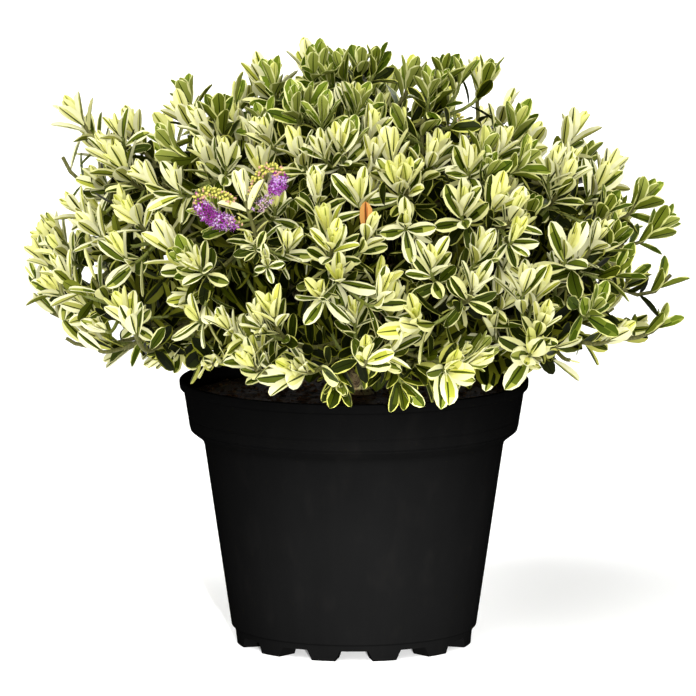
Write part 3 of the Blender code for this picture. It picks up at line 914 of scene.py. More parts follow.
def keep_worn_materials(mesh):
    """Leaves only the materials that some face wears."""
    worn = [0] * len(mesh.polygons)
    mesh.polygons.foreach_get("material_index", worn)
    place_of = {old: new for new, old in enumerate(sorted(set(worn)))}
    kept = [mesh.materials[old] for old in place_of]
    mesh.materials.clear()
    for material in kept:
        mesh.materials.append(material)
    mesh.polygons.foreach_set("material_index", [place_of[old] for old in worn])

# %% [markdown]
# ## Sprays
#
# A spray is a mesh of loose points, each with a form, a turn, a size and a tint, and the tree that
# sets a form on every point. A form's faces carry a zone, such as margin or midrib. The tint times
# the number of zones plus the zone gives the number of the face's finish. So every leaf can have
# its own colours, and they stay plain.

# %% Sprays
def store(mesh, name, domain, values):
    """Stores a number, a whole number or a turn for each point or face."""
    kind = {int: "INT", float: "FLOAT"}.get(type(values[0]), "QUATERNION")
    flat = values if kind != "QUATERNION" else [part for turn in values for part in turn]
    mesh.attributes.new(name, kind, domain).data.foreach_set("value", flat)


def points_mesh(name, places, **columns):
    """A mesh of loose points, with a column of values for each name."""
    mesh = bpy.data.meshes.new(name)
    mesh.from_pydata([tuple(place) for place in places], [], [])
    for column, values in columns.items():
        store(mesh, column, "POINT", values)
    return mesh


def spray_tree(name, materials, zones):
    """Sets a form on every point, and finishes its faces by tint and zone."""
    tree = NodeTree(name)
    forms = tree.take("Forms", "NodeSocketCollection")
    length = tree.take("Length", "NodeSocketFloat")
    picked = tree.node(
        "GeometryNodeCollectionInfo",
        {"transform_space": "ORIGINAL"},
        {"Collection": forms, "Separate Children": True, "Reset Children": True},
    )
    sizes = {0: tree.attribute("size", "FLOAT"), 1: length}
    size = tree.node("ShaderNodeMath", {"operation": "MULTIPLY"}, sizes)
    geometry = tree.node(
        "GeometryNodeInstanceOnPoints",
        {},
        {
            "Points": tree.entry.outputs["Geometry"],
            "Instance": picked,
            "Pick Instance": True,
            "Instance Index": tree.attribute("form", "INT"),
            "Rotation": tree.attribute("turn", "QUATERNION"),
            "Scale": size,
        },
    )
    geometry = tree.node("GeometryNodeRealizeInstances", {}, {"Geometry": geometry})
    terms = {0: tree.attribute("tint", "INT"), 1: float(zones), 2: tree.attribute("zone", "INT")}
    number = tree.node("ShaderNodeMath", {"operation": "MULTIPLY_ADD"}, terms)
    geometry = tree.node(
        "GeometryNodeStoreNamedAttribute",
        {"data_type": "INT", "domain": "FACE"},
        {"Geometry": geometry, "Name": "finish", "Value": number},
    )
    return tree.finishes(geometry, "finish", materials)


def forms_collection(name, meshes):
    """Objects out of sight, in the order of their names, for Geometry Nodes to pick from."""
    found = bpy.data.collections.new(name)
    for i, mesh in enumerate(meshes):
        found.objects.link(bpy.data.objects.new(f"{name}_{i:02d}", mesh))
    return found


def new_rows():
    return {"place": [], "turn": [], "size": [], "form": [], "tint": []}


def spray_piece(name, tree, forms, rows, length):
    """One plain mesh of everything that the rows of points place."""
    places = rows.pop("place")
    piece = tree.run(name, points_mesh(name, places, **rows), Forms=forms, Length=length)
    for left_over in ("size", "form", "tint", "zone", "finish", "turn"):
        layer = piece.data.attributes.get(left_over)
        if layer:
            piece.data.attributes.remove(layer)
    return piece


def tint_finishes(tints, zones, roughness, gloss):
    """One plain finish for each zone of each tint, in that order."""
    return [
        Finish(f"{tint} {zone}", colour, roughness, Specular_IOR_Level=gloss).material
        for tint, colours in tints.items()
        for zone, colour in zip(zones, colours)
    ]

# %% [markdown]
# ## Leaves
#
# A leaf of this hebe is two centimetres long, leathery, folded a little along its midrib, with a
# green heart and a broad margin that is yellow on young leaves and cream on grown ones. A flat card
# with a picture would be lighter, but it has no thickness and shows its edge. So each form below is
# one closed mesh of a few dozen faces, and the pattern is geometry: its faces are margin, flank,
# blade, midrib or underside. Forms differ in breadth, fold, bend and in how far the green reaches.

# %% Table of leaf forms
MARGIN, FLANK, BLADE, RIB, UNDER = range(5)
# Stations along the leaf: place, share of its full width, and the midrib's share of that
STATIONS = (
    (0.10, 0.36, 0.20),
    (0.31, 0.78, 0.11),
    (0.54, 1.00, 0.08),
    (0.77, 0.92, 0.07),
    (0.93, 0.54, 0.08),
)
LEAF_THICK = 0.020
LEAF_CURL = 0.35
TIP_RISE = 0.12
FOLD_BELOW = 0.9
RIB_MOST = 0.8  # of the green beside it
GREEN_STRAY = (0.78, 1.16)
# Age, width, fold, backward bend, sideways bend, green on the left and on the right, midrib
LEAF_FORMS = (
    ("bud", 0.34, 0.95, -0.10, 0.00, 0.40, 0.35, 1.4),
    ("bud", 0.38, 0.80, -0.16, 0.02, 0.50, 0.45, 1.0),
    ("young", 0.38, 0.72, -0.06, 0.03, 0.34, 0.26, 1.6),
    ("young", 0.42, 0.60, 0.04, -0.03, 0.20, 0.42, 1.8),
    ("young", 0.40, 0.54, -0.10, 0.00, 0.44, 0.36, 1.2),
    ("grown", 0.40, 0.50, 0.02, 0.04, 0.56, 0.42, 1.4),
    ("grown", 0.43, 0.40, 0.08, -0.04, 0.38, 0.66, 1.2),
    ("grown", 0.41, 0.44, -0.04, 0.00, 0.66, 0.60, 1.2),
    ("grown", 0.38, 0.52, 0.06, 0.02, 0.18, 0.82, 1.2),
    ("old", 0.41, 0.30, 0.14, 0.05, 0.86, 0.80, 0.9),
    ("old", 0.43, 0.24, 0.04, -0.05, 0.78, 0.88, 0.8),
    ("old", 0.37, 0.34, 0.20, 0.00, 0.88, 0.84, 0.8),
    ("round", 0.72, 0.16, 0.10, 0.02, 0.82, 0.86, 0.6),
    ("green", 0.42, 0.48, 0.04, 0.04, 0.88, 0.82, 1.0),
    ("green", 0.46, 0.38, 0.10, -0.04, 0.78, 0.90, 0.9),
    ("green", 0.40, 0.54, -0.04, 0.00, 0.90, 0.84, 1.1),
)
ROUND_SHARE = 0.05  # of the old leaves
PATCHES = 0.55  # share of the green strips that turn paler over two stations
NO_PATCH = -9  # a station that no leaf has
print("leaf forms:", len(LEAF_FORMS), "in the table")

# %% [markdown]
# ## The mesh of a leaf
#
# A leaf's points lie in rings, one at each station, and its faces run between them from root to
# tip. Their corners could be listed in the right direction with care, but Blender turns all faces
# of a closed mesh outwards in one step. The leaf's rim stays a sharp edge, and the rest is smooth.

# %% Mesh of a leaf
def closed_mesh(name, points, faces):
    """A mesh with its faces turned outwards."""
    mesh = bpy.data.meshes.new(name)
    mesh.from_pydata([tuple(point) for point in points], [], faces)
    work = bmesh.new()
    work.from_mesh(mesh)
    bmesh.ops.recalc_face_normals(work, faces=work.faces)
    work.to_mesh(mesh)
    work.free()
    return mesh


def zoned_form(name, points, faces, zones):
    """A smooth closed form whose faces carry zones."""
    mesh = closed_mesh(name, points, faces)
    mesh.shade_smooth()
    store(mesh, "zone", "FACE", zones)
    return mesh


def leaf_form(name, age, width, fold, bend, sway, green_left, green_right, rib_share):
    """A leaf one unit long, from its root at the origin along +X, its upper face to +Z."""
    half = width / 2
    plain_below = age == "old"

    def on_leaf(t, y, z):
        return Vector((t, y + sway * t * t, z - bend * t * t))

    rng = random.Random(name)
    points = [on_leaf(0, 0, 0)]
    for t, full, rib in STATIONS:
        wide = half * full
        left = wide * green_left * rng.uniform(*GREEN_STRAY)
        right = wide * green_right * rng.uniform(*GREEN_STRAY)
        middle = min(wide * rib * rib_share, left * RIB_MOST, right * RIB_MOST)
        for y in (-wide, -left, -middle, middle, right, wide):
            curl = LEAF_CURL * fold * y * y / half
            points.append(on_leaf(t, y, fold * abs(y) - curl))
        for y in (-middle, middle) if plain_below else (-left, -middle, middle, right):
            points.append(on_leaf(t, y, fold * abs(y) * FOLD_BELOW - LEAF_THICK))
    points.append(on_leaf(1, 0, fold * half * TIP_RISE))
    ring, last = 8 if plain_below else 10, len(points) - 1
    upper = (0, 1, 2, 3, 4, 5)
    lower = (0, *range(6, ring), 5)
    zones_above = (MARGIN, BLADE, RIB, BLADE, MARGIN)
    zones_below = (UNDER, RIB, UNDER) if plain_below else (MARGIN, UNDER, RIB, UNDER, MARGIN)
    faces, zones = [], []
    for row, found in ((upper, zones_above), (lower, zones_below)):
        for j, zone in enumerate(found):
            a, b = row[j], row[j + 1]
            faces.append((0, 1 + a, 1 + b))
            for s in range(len(STATIONS) - 1):
                low, high = 1 + s * ring, 1 + (s + 1) * ring
                faces.append((low + a, low + b, high + b, high + a))
            end = 1 + (len(STATIONS) - 1) * ring
            faces.append((end + a, end + b, last))
            patched = rng.random() < PATCHES
            first = rng.randint(0, len(STATIONS) - 1) if patched else NO_PATCH
            for s in range(len(STATIONS) + 1):
                paler = zone in (BLADE, RIB) and row is upper and 0 <= s - first <= 1
                zones.append(FLANK if paler else zone)
    mesh = zoned_form(name, points, faces, zones)
    edge_of_leaf = {0, last} | {1 + s * ring + c for s in range(len(STATIONS)) for c in (0, 5)}
    for edge in mesh.edges:
        edge.use_edge_sharp = all(corner in edge_of_leaf for corner in edge.vertices)
    return mesh


LEAF_MESHES = [leaf_form(f"leaf_{i:02d}", *form) for i, form in enumerate(LEAF_FORMS)]
FORMS_OF_AGE = {
    age: [i for i, form in enumerate(LEAF_FORMS) if form[0] == age]
    for age in ("bud", "young", "grown", "old", "round", "green")
}
leaf_forms = forms_collection("leaf_form", LEAF_MESHES)
print("leaf forms:", len(LEAF_MESHES), "with", len(LEAF_MESHES[0].polygons), "faces each")

# %% [markdown]
# ## The leaves' colours
#
# A leaf changes colour as it ages: lime in the bud, lemon or cream when young, green with a cream
# edge when grown, dark green when old. Inside the shrub the two darkest tints, dark with a thin pale
# edge, go to low pairs and inner shoots: that is painted shade on top of the old leaves' green, and
# near the crown's outline they give way to lighter tints, as painted light. Shoots at the top and on
# the right are greener. One finish with a pattern of noise could do it, but the pattern would fall
# anywhere on a leaf. So there is a short list of tints, each with five plain colours for the five
# zones, and a leaf takes the tint of its age and of its shoot's sort.

# %% Tints of the leaves
# Tint: margin, flank, blade, midrib and underside
TINTS = {
    "lime": ((231, 231, 146), (220, 220, 112), (207, 209, 88), (120, 130, 38), (212, 213, 116)),
    "lemon": ((236, 235, 162), (225, 222, 122), (211, 209, 94), (74, 84, 20), (217, 214, 126)),
    "butter": ((239, 237, 188), (212, 210, 118), (162, 166, 58), (53, 64, 11), (219, 217, 140)),
    "cream": ((239, 237, 190), (152, 157, 68), (84, 96, 22), (33, 43, 2), (171, 171, 86)),
    "sage": ((230, 228, 160), (106, 116, 38), (58, 70, 7), (27, 35, 1), (109, 116, 34)),
    "leaf": ((228, 228, 160), (144, 156, 60), (102, 120, 28), (46, 62, 5), (148, 156, 70)),
    "moss": ((214, 215, 134), (96, 110, 26), (62, 79, 7), (29, 41, 1), (100, 110, 30)),
    # The next two tints, the darkest, paint shade onto leaves inside the crown, on top of the darker
    # green of old leaves
    "shade": ((192, 192, 96), (50, 59, 3), (31, 39, 0), (17, 23, 0), (59, 67, 5)),
    "deep_shade": ((100, 103, 26), (23, 29, 0), (13, 18, 0), (6, 8, 0), (30, 36, 0)),
    "withered": ((196, 144, 78), (150, 86, 44), (168, 98, 46), (86, 54, 20), (172, 112, 66)),
}
TINT_NAMES = list(TINTS)
ZONES = ("margin", "flank", "blade", "midrib", "underside")
leaf_materials = tint_finishes(TINTS, ZONES, 0.46, 0.06)
leaf_tree = spray_tree("Leaves on shoots", leaf_materials, len(ZONES))
print("leaf finishes:", len(leaf_materials))

# %% [markdown]
# ## How a shoot is dressed
#
# Leaves stand in opposite pairs, each pair a quarter turn from the one below. The youngest pair is
# folded upright round the bud, the next ones open further, and old pairs lie nearly flat or droop.
# The tables say so pair by pair, because that is how a gardener would describe it.

# %% Tables of pairs and tints
LEAF_LENGTH = 0.0225
# Pairs from the tip down: gap to the pair above, angle to the shoot, share of length, age
PAIRS = (
    (0.0000, 6, 0.50, "bud"),
    (0.0010, 12, 0.80, "young"),
    (0.0020, 21, 0.98, "young"),
    (0.0034, 31, 1.05, "grown"),
    (0.0046, 42, 1.04, "grown"),
    (0.0058, 51, 1.00, "grown"),
    (0.0070, 59, 0.94, "old"),
    (0.0080, 65, 0.88, "old"),
    (0.0088, 70, 0.82, "old"),
    (0.0094, 75, 0.78, "old"),
    (0.0100, 80, 0.74, "old"),
)
# The same for a shoot in flower: its top pair stands closed, and its stem is longer. Here the
# angle is given to the left and to the right, a roll turns the leaves' faces to the front, and the
# last number is how far the pair stands forward.
BLOOM_PAIRS = (
    (0.0000, (3, 3), 0.50, "bud", 40, 0.0),
    (0.0004, (9, 11), 0.94, "young", 62, 0.0),
    (0.0066, (58, 43), 1.10, "young", 30, 0.60),
    (0.0066, (40, 58), 0.50, "grown", 20, 0.3),
    (0.0085, (44, 60), 0.55, "grown", 20, 0.3),
    (0.0085, (60, 60), 0.90, "grown", 0, 0.0),
    (0.0080, (72, 72), 0.90, "old", 0, -1.0),
    (0.0080, (78, 78), 0.86, "old", 0, 0.5),
)
# Sort of shoot: the tints of its pairs, from the tip down. The dark tints of the low pairs and of
# the inner sorts are painted shade, on top of the darker green of old leaves
DRESS = {
    "bloom": ("butter", "butter", "butter", "lemon", "lemon", "cream", "sage", "shade", "deep_shade"),
    "yellow": ("lime", "lime", "lemon", "butter", "cream", "sage", "shade", "shade", "deep_shade"),
    "cream": ("lime", "lemon", "butter", "cream", "cream", "sage", "sage", "shade", "deep_shade"),
    "green": ("lime", "leaf", "leaf", "leaf", "moss", "moss", "shade", "shade", "deep_shade"),
    "moss": ("leaf", "moss", "moss", "moss", "shade", "shade", "deep_shade", "deep_shade", "deep_shade"),
    "shade": ("sage", "sage", "shade", "shade", "shade", "deep_shade", "deep_shade", "deep_shade", "deep_shade"),
    "hanging": ("lemon", "butter", "cream", "sage", "shade", "shade", "deep_shade", "deep_shade", "deep_shade"),
    "deep_shade": ("shade", "deep_shade", "deep_shade", "deep_shade", "deep_shade", "deep_shade", "deep_shade", "deep_shade", "deep_shade"),
}
GREEN_SORTS = ("green", "moss", "shade")
# Near the crown's outline the painted shade of old leaves is lifted: their dark tints give way to
# lighter ones, as painted light
PAINTED_LIGHT_LEVEL = 0.90
PAINTED_LIGHT_TINTS = {"deep_shade": "sage", "shade": "moss"}
PAIR_COUNT = {"outer": 8, "middle": 6, "inner": 5}
MORE_PAIRS = 3  # on the coarse twigs, which are longer
SPIKE_CLEAR = 0.0085  # leaves of other shoots make way for a spike
BOX_CLEAR = 0.006  # how far a leaf may reach out of the solids' box
# How many leaves stay below the crown's underside: on rosettes read from the photograph nearly all
HANGING_SHARES = {"shade": 1.0, "hanging": 0.22, "cream": 0.85, "yellow": 0.85}
FEW_HANGING = 0.03
print("sorts of shoot:", ", ".join(DRESS))

# %% [markdown]
# ## Which leaf grows where
#
# A shoot's sort follows from its layer and its place, unless it was read from the photograph. Its
# leaves are turned by their angle to the shoot. A leaf isn't grown where it would leave the box of
# the solids, cover the sky or a spike, or hang before the pot.

# %% Sorts and turns of leaves
# Greener shoots: the height, or the place across, where they begin, and how far on they prevail
GREEN_TOP = (0.325, 0.03)
GREEN_RIGHT = (0.130, 0.05)
GREEN_SHARES = (0.08, 0.74)  # everywhere, and more where they prevail
HANGING_BELOW = 0.210
HANGING_SHARE = 0.75
YELLOW_SHARE = 0.30
BRIGHT_SORTS = ("shade", "cream", "yellow")
SPIKE_POINTS = [point for line in SPIKES for point in line[::3]]


def greenness(tip):
    """How likely a shoot is to be green: at the top and on the right."""
    top = within((tip.z - GREEN_TOP[0]) / GREEN_TOP[1])
    right = within((tip.x - GREEN_RIGHT[0]) / GREEN_RIGHT[1])
    return GREEN_SHARES[0] + GREEN_SHARES[1] * max(top, right)


def sort_of(shoot, rng):
    """A shoot's sort of leaf, from its layer and its place."""
    if shoot.sort:
        return shoot.sort
    # Shoots inside the crown take the darkest tints: painted shade
    if shoot.layer == "inner":
        return "deep_shade"
    if shoot.layer == "middle":
        return rng.choice(("shade", "deep_shade", "deep_shade"))
    tip = shoot.path[-1]
    if tip.z < HANGING_BELOW and rng.random() < HANGING_SHARE:
        return "hanging"
    if rng.random() < greenness(tip):
        return rng.choice(("green", "green", "moss"))
    return "yellow" if rng.random() < YELLOW_SHARE else "cream"


def turned(way, other, angle):
    """A way turned by an angle towards another, which is square to it."""
    return way * math.cos(angle) + other * math.sin(angle)


def leaf_turn(shoot, out, angle, roll):
    """The turn that lays a leaf's length at an angle to its shoot, its upper face to the tip."""
    way = turned(shoot, out, angle)
    face = shoot * math.sin(angle) - out * math.cos(angle)
    side = face.cross(way)
    turn = Matrix((way, side, face)).transposed()
    return (turn @ Matrix.Rotation(roll, 3, "X")).to_quaternion()


def in_the_way(root, reach, shoot):
    """Whether a leaf would leave the box, cover the sky or a spike, or hang before the pot."""
    end = root + reach
    for axis in range(3):
        if not cad_box[0][axis] - BOX_CLEAR < end[axis] < cad_box[1][axis] + BOX_CLEAR:
            return True
    if any(in_sky(root + reach * part) for part in (0.2, 0.6, 1.0)):
        return True
    if shoot.sort == "bloom":
        return False
    if any(not clear_of(root + reach * part, SPIKE_POINTS, SPIKE_CLEAR) for part in (0.3, 0.9)):
        return True
    return shoot.sort not in BRIGHT_SORTS and before_pot(end)


print("chance of a green shoot in the middle:", greenness(CROWN_MIDDLE))

# %% [markdown]
# ## Dress a shoot
#
# The pairs of the table are set along the shoot from its tip down, and each leaf becomes one point
# with a turn, a size, a form and a tint. Small strays in angle, roll and size keep the pairs from
# looking stamped.

# %% Dress a shoot
OPENNESS = (0.78, 1.30)  # how far a shoot's pairs open, against the table
OUT_STRAY = 0.10
ANGLE_STRAY = 6
WIDEST_ANGLE = 96
ROLL_STRAY = 0.16
SIZE_STRAY = (0.90, 1.08)
SLIPS = (0, 0, 0, 0, 1, -1)  # how many pairs older or younger a leaf's tint may be
ROOT_OUT = 0.0006  # from the middle of the twig


def dress(shoot, rng, rows):
    """Adds the leaves of one shoot to the rows of points."""
    sort = sort_of(shoot, rng)
    turn = rng.uniform(0, math.pi)
    open_share = rng.uniform(*OPENNESS)
    back = 0.0
    last = len(DRESS[sort]) - 1
    count = PAIR_COUNT[shoot.layer] + (0 if shoot.radii is SHOOT_RADII else MORE_PAIRS)
    pairs = [(gap, (spread, spread), *rest, 0, 0) for gap, spread, *rest in PAIRS[:count]]
    if sort == "bloom":
        open_share, pairs = 1.0, BLOOM_PAIRS
    for rank, (gap, spreads, share, age, roll, forward) in enumerate(pairs):
        back += gap * shoot.vigour
        found = down_path(shoot.path, back)
        if not found:
            return
        root, way = found
        for left, half_turn in enumerate((0, math.pi)):
            about = turn + half_turn + rng.gauss(0, OUT_STRAY)
            out = Matrix.Rotation(about, 3, way) @ square_to(way)
            if sort == "bloom":
                right, front = sides_of(root)
                out = (-right if left else right) + front * forward
                out = (out - way * way.dot(out)).normalized()
            spread = min(WIDEST_ANGLE, spreads[1 - left] * open_share)
            angle = math.radians(spread + rng.gauss(0, ANGLE_STRAY))
            slip = within(rank + rng.choice(SLIPS), 0, last)
            reach = turned(way, out, angle) * share * LEAF_LENGTH
            kind = sort if sort == "hanging" else shoot.sort
            stays = rng.random() < HANGING_SHARES.get(kind, FEW_HANGING)
            below = (root + reach).z < underside(root + reach)
            if in_the_way(root, reach, shoot) or (below and not stays):
                continue
            rows["place"].append(root + out * ROOT_OUT)
            lean = math.radians(roll) * (1 if left else -1)
            rows["turn"].append(leaf_turn(way, out, angle, lean + rng.gauss(0, ROLL_STRAY)))
            rows["size"].append(share * shoot.vigour * rng.uniform(*SIZE_STRAY))
            look = "old" if shoot.layer == "inner" else age
            if age == "old" and rng.random() < ROUND_SHARE:
                look = "round"
            elif sort in GREEN_SORTS and age in ("young", "grown"):
                look = "green"
            rows["form"].append(rng.choice(FORMS_OF_AGE[look]))
            tint = DRESS[sort][slip]
            # Painted light: near the crown's outline, dark tints give way to lighter ones
            if crown_level(root) > PAINTED_LIGHT_LEVEL:
                tint = PAINTED_LIGHT_TINTS.get(tint, tint)
            rows["tint"].append(TINT_NAMES.index(tint))
        turn += math.pi / 2

# %% [markdown]
# ## All leaves
#
# There is one piece for each mass of foliage, and it replaces that mass's solid. One piece for the
# whole crown would have too many triangles. One young leaf at the front has withered, as in the
# photograph: it is the one nearest to a place in the picture and to the camera.

# %% Leaves
WITHERED_AT = (8, 280)  # in the picture
WITHERED_TURN = (math.radians(10), 0.12)  # its angle to upright, and its roll
NEAR_WEIGHT = 250  # of a metre nearer to the camera, in millimetres of the picture


def wither_one(rows_of_masses):
    """One young leaf at the front has turned orange-brown."""

    def off_place(leaf):
        rows, i = leaf
        middle = rows["place"][i] + rows["turn"][i] @ Vector((LEAF_LENGTH / 2, 0, 0))
        x, z = on_picture(middle)
        return math.hypot(x - WITHERED_AT[0], z - WITHERED_AT[1]) + NEAR_WEIGHT * middle.y

    all_leaves = ((rows, i) for rows in rows_of_masses for i in range(len(rows["place"])))
    rows, i = min(all_leaves, key=off_place)
    rows["tint"][i] = TINT_NAMES.index("withered")
    rows["form"][i] = FORMS_OF_AGE["young"][0]
    rows["size"][i] = 1.0
    rows["turn"][i] = leaf_turn(UP, Vector((0, 1, 0)), *WITHERED_TURN)


leaf_rng = random.Random(41)
leaf_rows = [new_rows() for _ in MASSES]
for grown in SHOOTS:
    dress(grown, leaf_rng, leaf_rows[grown.mass])
wither_one(leaf_rows)
leaf_count = sum(len(rows["place"]) for rows in leaf_rows)
for (mass_name, *_), rows in zip(MASSES, leaf_rows):
    leaves = spray_piece(f"leaves_{mass_name}", leaf_tree, leaf_forms, rows, LEAF_LENGTH)
    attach(leaves, "root")
    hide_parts(f"foliage_{mass_name}")
    print(leaves.name, len(leaves.data.polygons), "faces")
print("leaves:", leaf_count)

# %% [markdown]
# ## Twigs as tubes
#
# The paths of the twigs become curves, and a circle swept along them makes closed tubes. Young
# wood is yellow-green, older wood olive and then brown, so each path carries its age as a number.

# %% Twigs
TWIG_SIDES = 7
SPIKE_RADII = (0.0010, 0.0006)


def twig_finish(name, dark, pale):
    """Smooth bark with fine fibres along it, a little duller where it is darker."""
    made = Finish(name, pale, 0.6, Specular_IOR_Level=0.25)
    fibres = made.ramp(made.grain(0.0012, (1, 1, 0.4), 4), [(0.35, 0), (0.60, 1)])
    made.feed("Base Color", made.blend(fibres, dark, pale))
    made.feed("Roughness", 0.7 - fibres * 0.15)
    return made.bump(fibres, 0.0001).material


twig_materials = [
    twig_finish("young twig", (92, 102, 40), (128, 134, 66)),
    twig_finish("green twig", (74, 76, 34), (106, 104, 56)),
    twig_finish("brown twig", (60, 46, 28), (92, 76, 52)),
]


def twig_tree():
    tree = NodeTree("Twigs along paths")
    sides = tree.take("Sides", "NodeSocketInt")
    curve = tree.node("GeometryNodeMeshToCurve", {}, {"Mesh": tree.entry.outputs["Geometry"]})
    radius = tree.attribute("radius_here", "FLOAT")
    ring = tree.node("GeometryNodeCurvePrimitiveCircle", {}, {"Resolution": sides, "Radius": 1.0})
    swept = {"Curve": curve, "Profile Curve": ring, "Scale": radius, "Fill Caps": True}
    mesh = tree.node("GeometryNodeCurveToMesh", {}, swept)
    return tree.finishes(mesh, "age", twig_materials)


def paths_mesh(name, paths):
    """Lines through the paths' points, with a radius and an age at each."""
    mesh = bpy.data.meshes.new(name)
    points, edges, radii, ages = [], [], [], []
    for path, (thick, thin), age in paths:
        first = len(points)
        points += [tuple(point) for point in path]
        edges += [(first + i, first + i + 1) for i in range(len(path) - 1)]
        radii += [thick + (thin - thick) * i / (len(path) - 1) for i in range(len(path))]
        ages += [age] * len(path)
    mesh.from_pydata(points, edges, [])
    store(mesh, "radius_here", "POINT", radii)
    store(mesh, "age", "POINT", ages)
    return mesh


twig_paths = [(stem, MASS_STEM_RADII, 2) for stem in STEMS]
twig_paths += [(grown.path, grown.radii, 1) for grown in COARSE_SHOOTS]
twig_paths += [(grown.path, grown.radii, 0) for grown in FINE_SHOOTS]
twig_paths += [(line, SPIKE_RADII, 0) for line in SPIKES]
twigs = twig_tree().run("twigs", paths_mesh("twigs", twig_paths), Sides=TWIG_SIDES)
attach(twigs, "root")
print("twigs:", len(twig_paths), "paths,", len(twigs.data.polygons), "faces")

# %% [markdown]
# ## The pot's outline
#
# The pot is moulded from thin black plastic: a rolled lip, a rim band with a thin line round it, a
# step, a tapered wall, a ledge and short feet. All that is one outline, from the middle of the
# floor inside to the middle underneath, and every corner has its own rounding.

# %% Sizes of the pot
WALL = 0.0018
LIP_HEIGHT = 0.007
LIP_REACH = 0.003
BAND_HEIGHT = 0.026
BAND_DRAFT = 0.16
STEP_HEIGHT = 0.007
STEP_REACH = 0.009
WALL_DRAFT = 0.146
LEDGE_HEIGHT = 0.0115
LEDGE_REACH = 0.002
FLOOR_UNDER = 0.0075
FLOOR_TOP = FLOOR_UNDER + WALL
BAND_FOOT = POT_HEIGHT - LIP_HEIGHT - BAND_HEIGHT
BAND_GROOVE = 0.1505  # height of the thin line round the rim band
WALL_TOP = BAND_FOOT - STEP_HEIGHT
FEET = 12
FOOT_DEPTH = 0.017
NOTCH_HEIGHT = 0.0068
NOTCH_NARROWS = 0.04  # a notch spans a smaller angle at the inner side of the feet
# Degrees from the middle of a notch, and how far the outline's lowest points are lifted there
NOTCH_TURNS = ((0, 1), (3.4, 1), (6.86, 1), (9.2, 0), (12, 0), (15, 0))
FEET_INSIDE = 14  # columns nearer than this to the middle of a notch follow it inwards
DRAINS = 8
DRAIN_RADIUS = 0.0045
DRAIN_CIRCLE = 0.048


def pot_radius(height):
    """The outer radius of the pot's wall or rim band at a height, without the lip."""
    if height >= BAND_FOOT:
        return RIM_RADIUS - LIP_REACH - (POT_HEIGHT - LIP_HEIGHT - height) * BAND_DRAFT
    wall_radius = pot_radius(BAND_FOOT) - STEP_REACH
    if height <= WALL_TOP:
        return wall_radius - (WALL_TOP - height) * WALL_DRAFT
    return wall_radius + STEP_REACH * (height - WALL_TOP) / STEP_HEIGHT


def wall_corner(height, rounding, inside=0, above=0):
    """A corner of the outline on the wall or rim band, or set in from it and up."""
    return pot_radius(height) - inside, height + above, rounding


FOOT_RADIUS = pot_radius(LEDGE_HEIGHT) - LEDGE_REACH
# Its corners, from the floor inside to the middle underneath: radius, height and rounding
POT_OUTLINE = (
    (0, FLOOR_TOP, 0),
    wall_corner(FLOOR_TOP, 0.003, 2 * WALL),
    wall_corner(WALL_TOP, 0.002, WALL, WALL),
    wall_corner(BAND_FOOT, 0.002, WALL, WALL),
    (RIM_RADIUS - LIP_REACH / 2 - WALL, POT_HEIGHT, 0.0009),
    (RIM_RADIUS, POT_HEIGHT, 0.0016),
    (RIM_RADIUS - LIP_REACH / 8, POT_HEIGHT - LIP_HEIGHT * 0.8, 0.0012),
    wall_corner(POT_HEIGHT - LIP_HEIGHT, 0.0008),
    wall_corner(BAND_GROOVE + 0.0008, 0.0003),
    wall_corner(BAND_GROOVE, 0.0002, 0.0006),
    wall_corner(BAND_GROOVE - 0.0008, 0.0003),
    wall_corner(BAND_FOOT + 0.0016, 0.0007),
    wall_corner(BAND_FOOT, 0.0002, 0.0008, 0.0009),
    wall_corner(BAND_FOOT, 0.0006),
    wall_corner(WALL_TOP, 0.0035),
    wall_corner(LEDGE_HEIGHT, 0.0007),
    (FOOT_RADIUS, LEDGE_HEIGHT - LEDGE_REACH / 2, 0.0006),
    (FOOT_RADIUS - LEDGE_REACH / 2, 0, 0.0007),
    (FOOT_RADIUS - FOOT_DEPTH, 0, 0.0007),
    (FOOT_RADIUS - FOOT_DEPTH - LEDGE_REACH / 2, FLOOR_UNDER, 0.0007),
    (0, FLOOR_UNDER, 0),
)
print("pot:", len(POT_OUTLINE), "corners in its outline")

# %% [markdown]
# ## Shells
#
# Pot, potting mix, limbs, florets and buds are all closed shells of rings between two poles. A
# Screw modifier could turn the pot, but not one whose feet have notches, and a curve could be the
# limb, but not one with the relief of bark. So one function makes the shell, and each piece says
# where its corners go.

# %% Shells
def rounded(outline, steps=3):
    """The outline as points, with an arc of a few steps in place of each corner."""
    points = [Vector(outline[0][:2])]
    for before, corner, after in zip(outline, outline[1:], outline[2:]):
        middle = Vector(corner[:2])
        sides = [Vector(other[:2]) - middle for other in (before, after)]
        reach = min(corner[2], 0.45 * sides[0].length, 0.45 * sides[1].length)
        start, end = [middle + side.normalized() * reach for side in sides]
        for i in range(steps + 1):
            t = i / steps
            points.append(start * (1 - t) ** 2 + middle * 2 * t * (1 - t) + end * t * t)
    return points + [Vector(outline[-1][:2])]


def add_shell(points, faces, rings, columns, point_at):
    """Adds a closed shell of rings between two poles, and returns the band each face lies in."""
    first, last = len(points), rings - 1
    points.append(point_at(0, 0))
    for i in range(1, last):
        points += [point_at(i, k) for k in range(columns)]
    points.append(point_at(last, 0))
    end = len(points) - 1
    bands = []
    for k in range(columns):
        n = (k + 1) % columns
        faces.append((first, first + 1 + k, first + 1 + n))
        for low in range(first + 1, end - columns, columns):
            faces.append((low + k, low + columns + k, low + columns + n, low + n))
        faces.append((end, end - columns + n, end - columns + k))
        bands += range(last)
    return bands


def shell_mesh(name, rings, columns, point_at):
    points, faces = [], []
    add_shell(points, faces, rings, columns, point_at)
    return closed_mesh(name, points, faces)


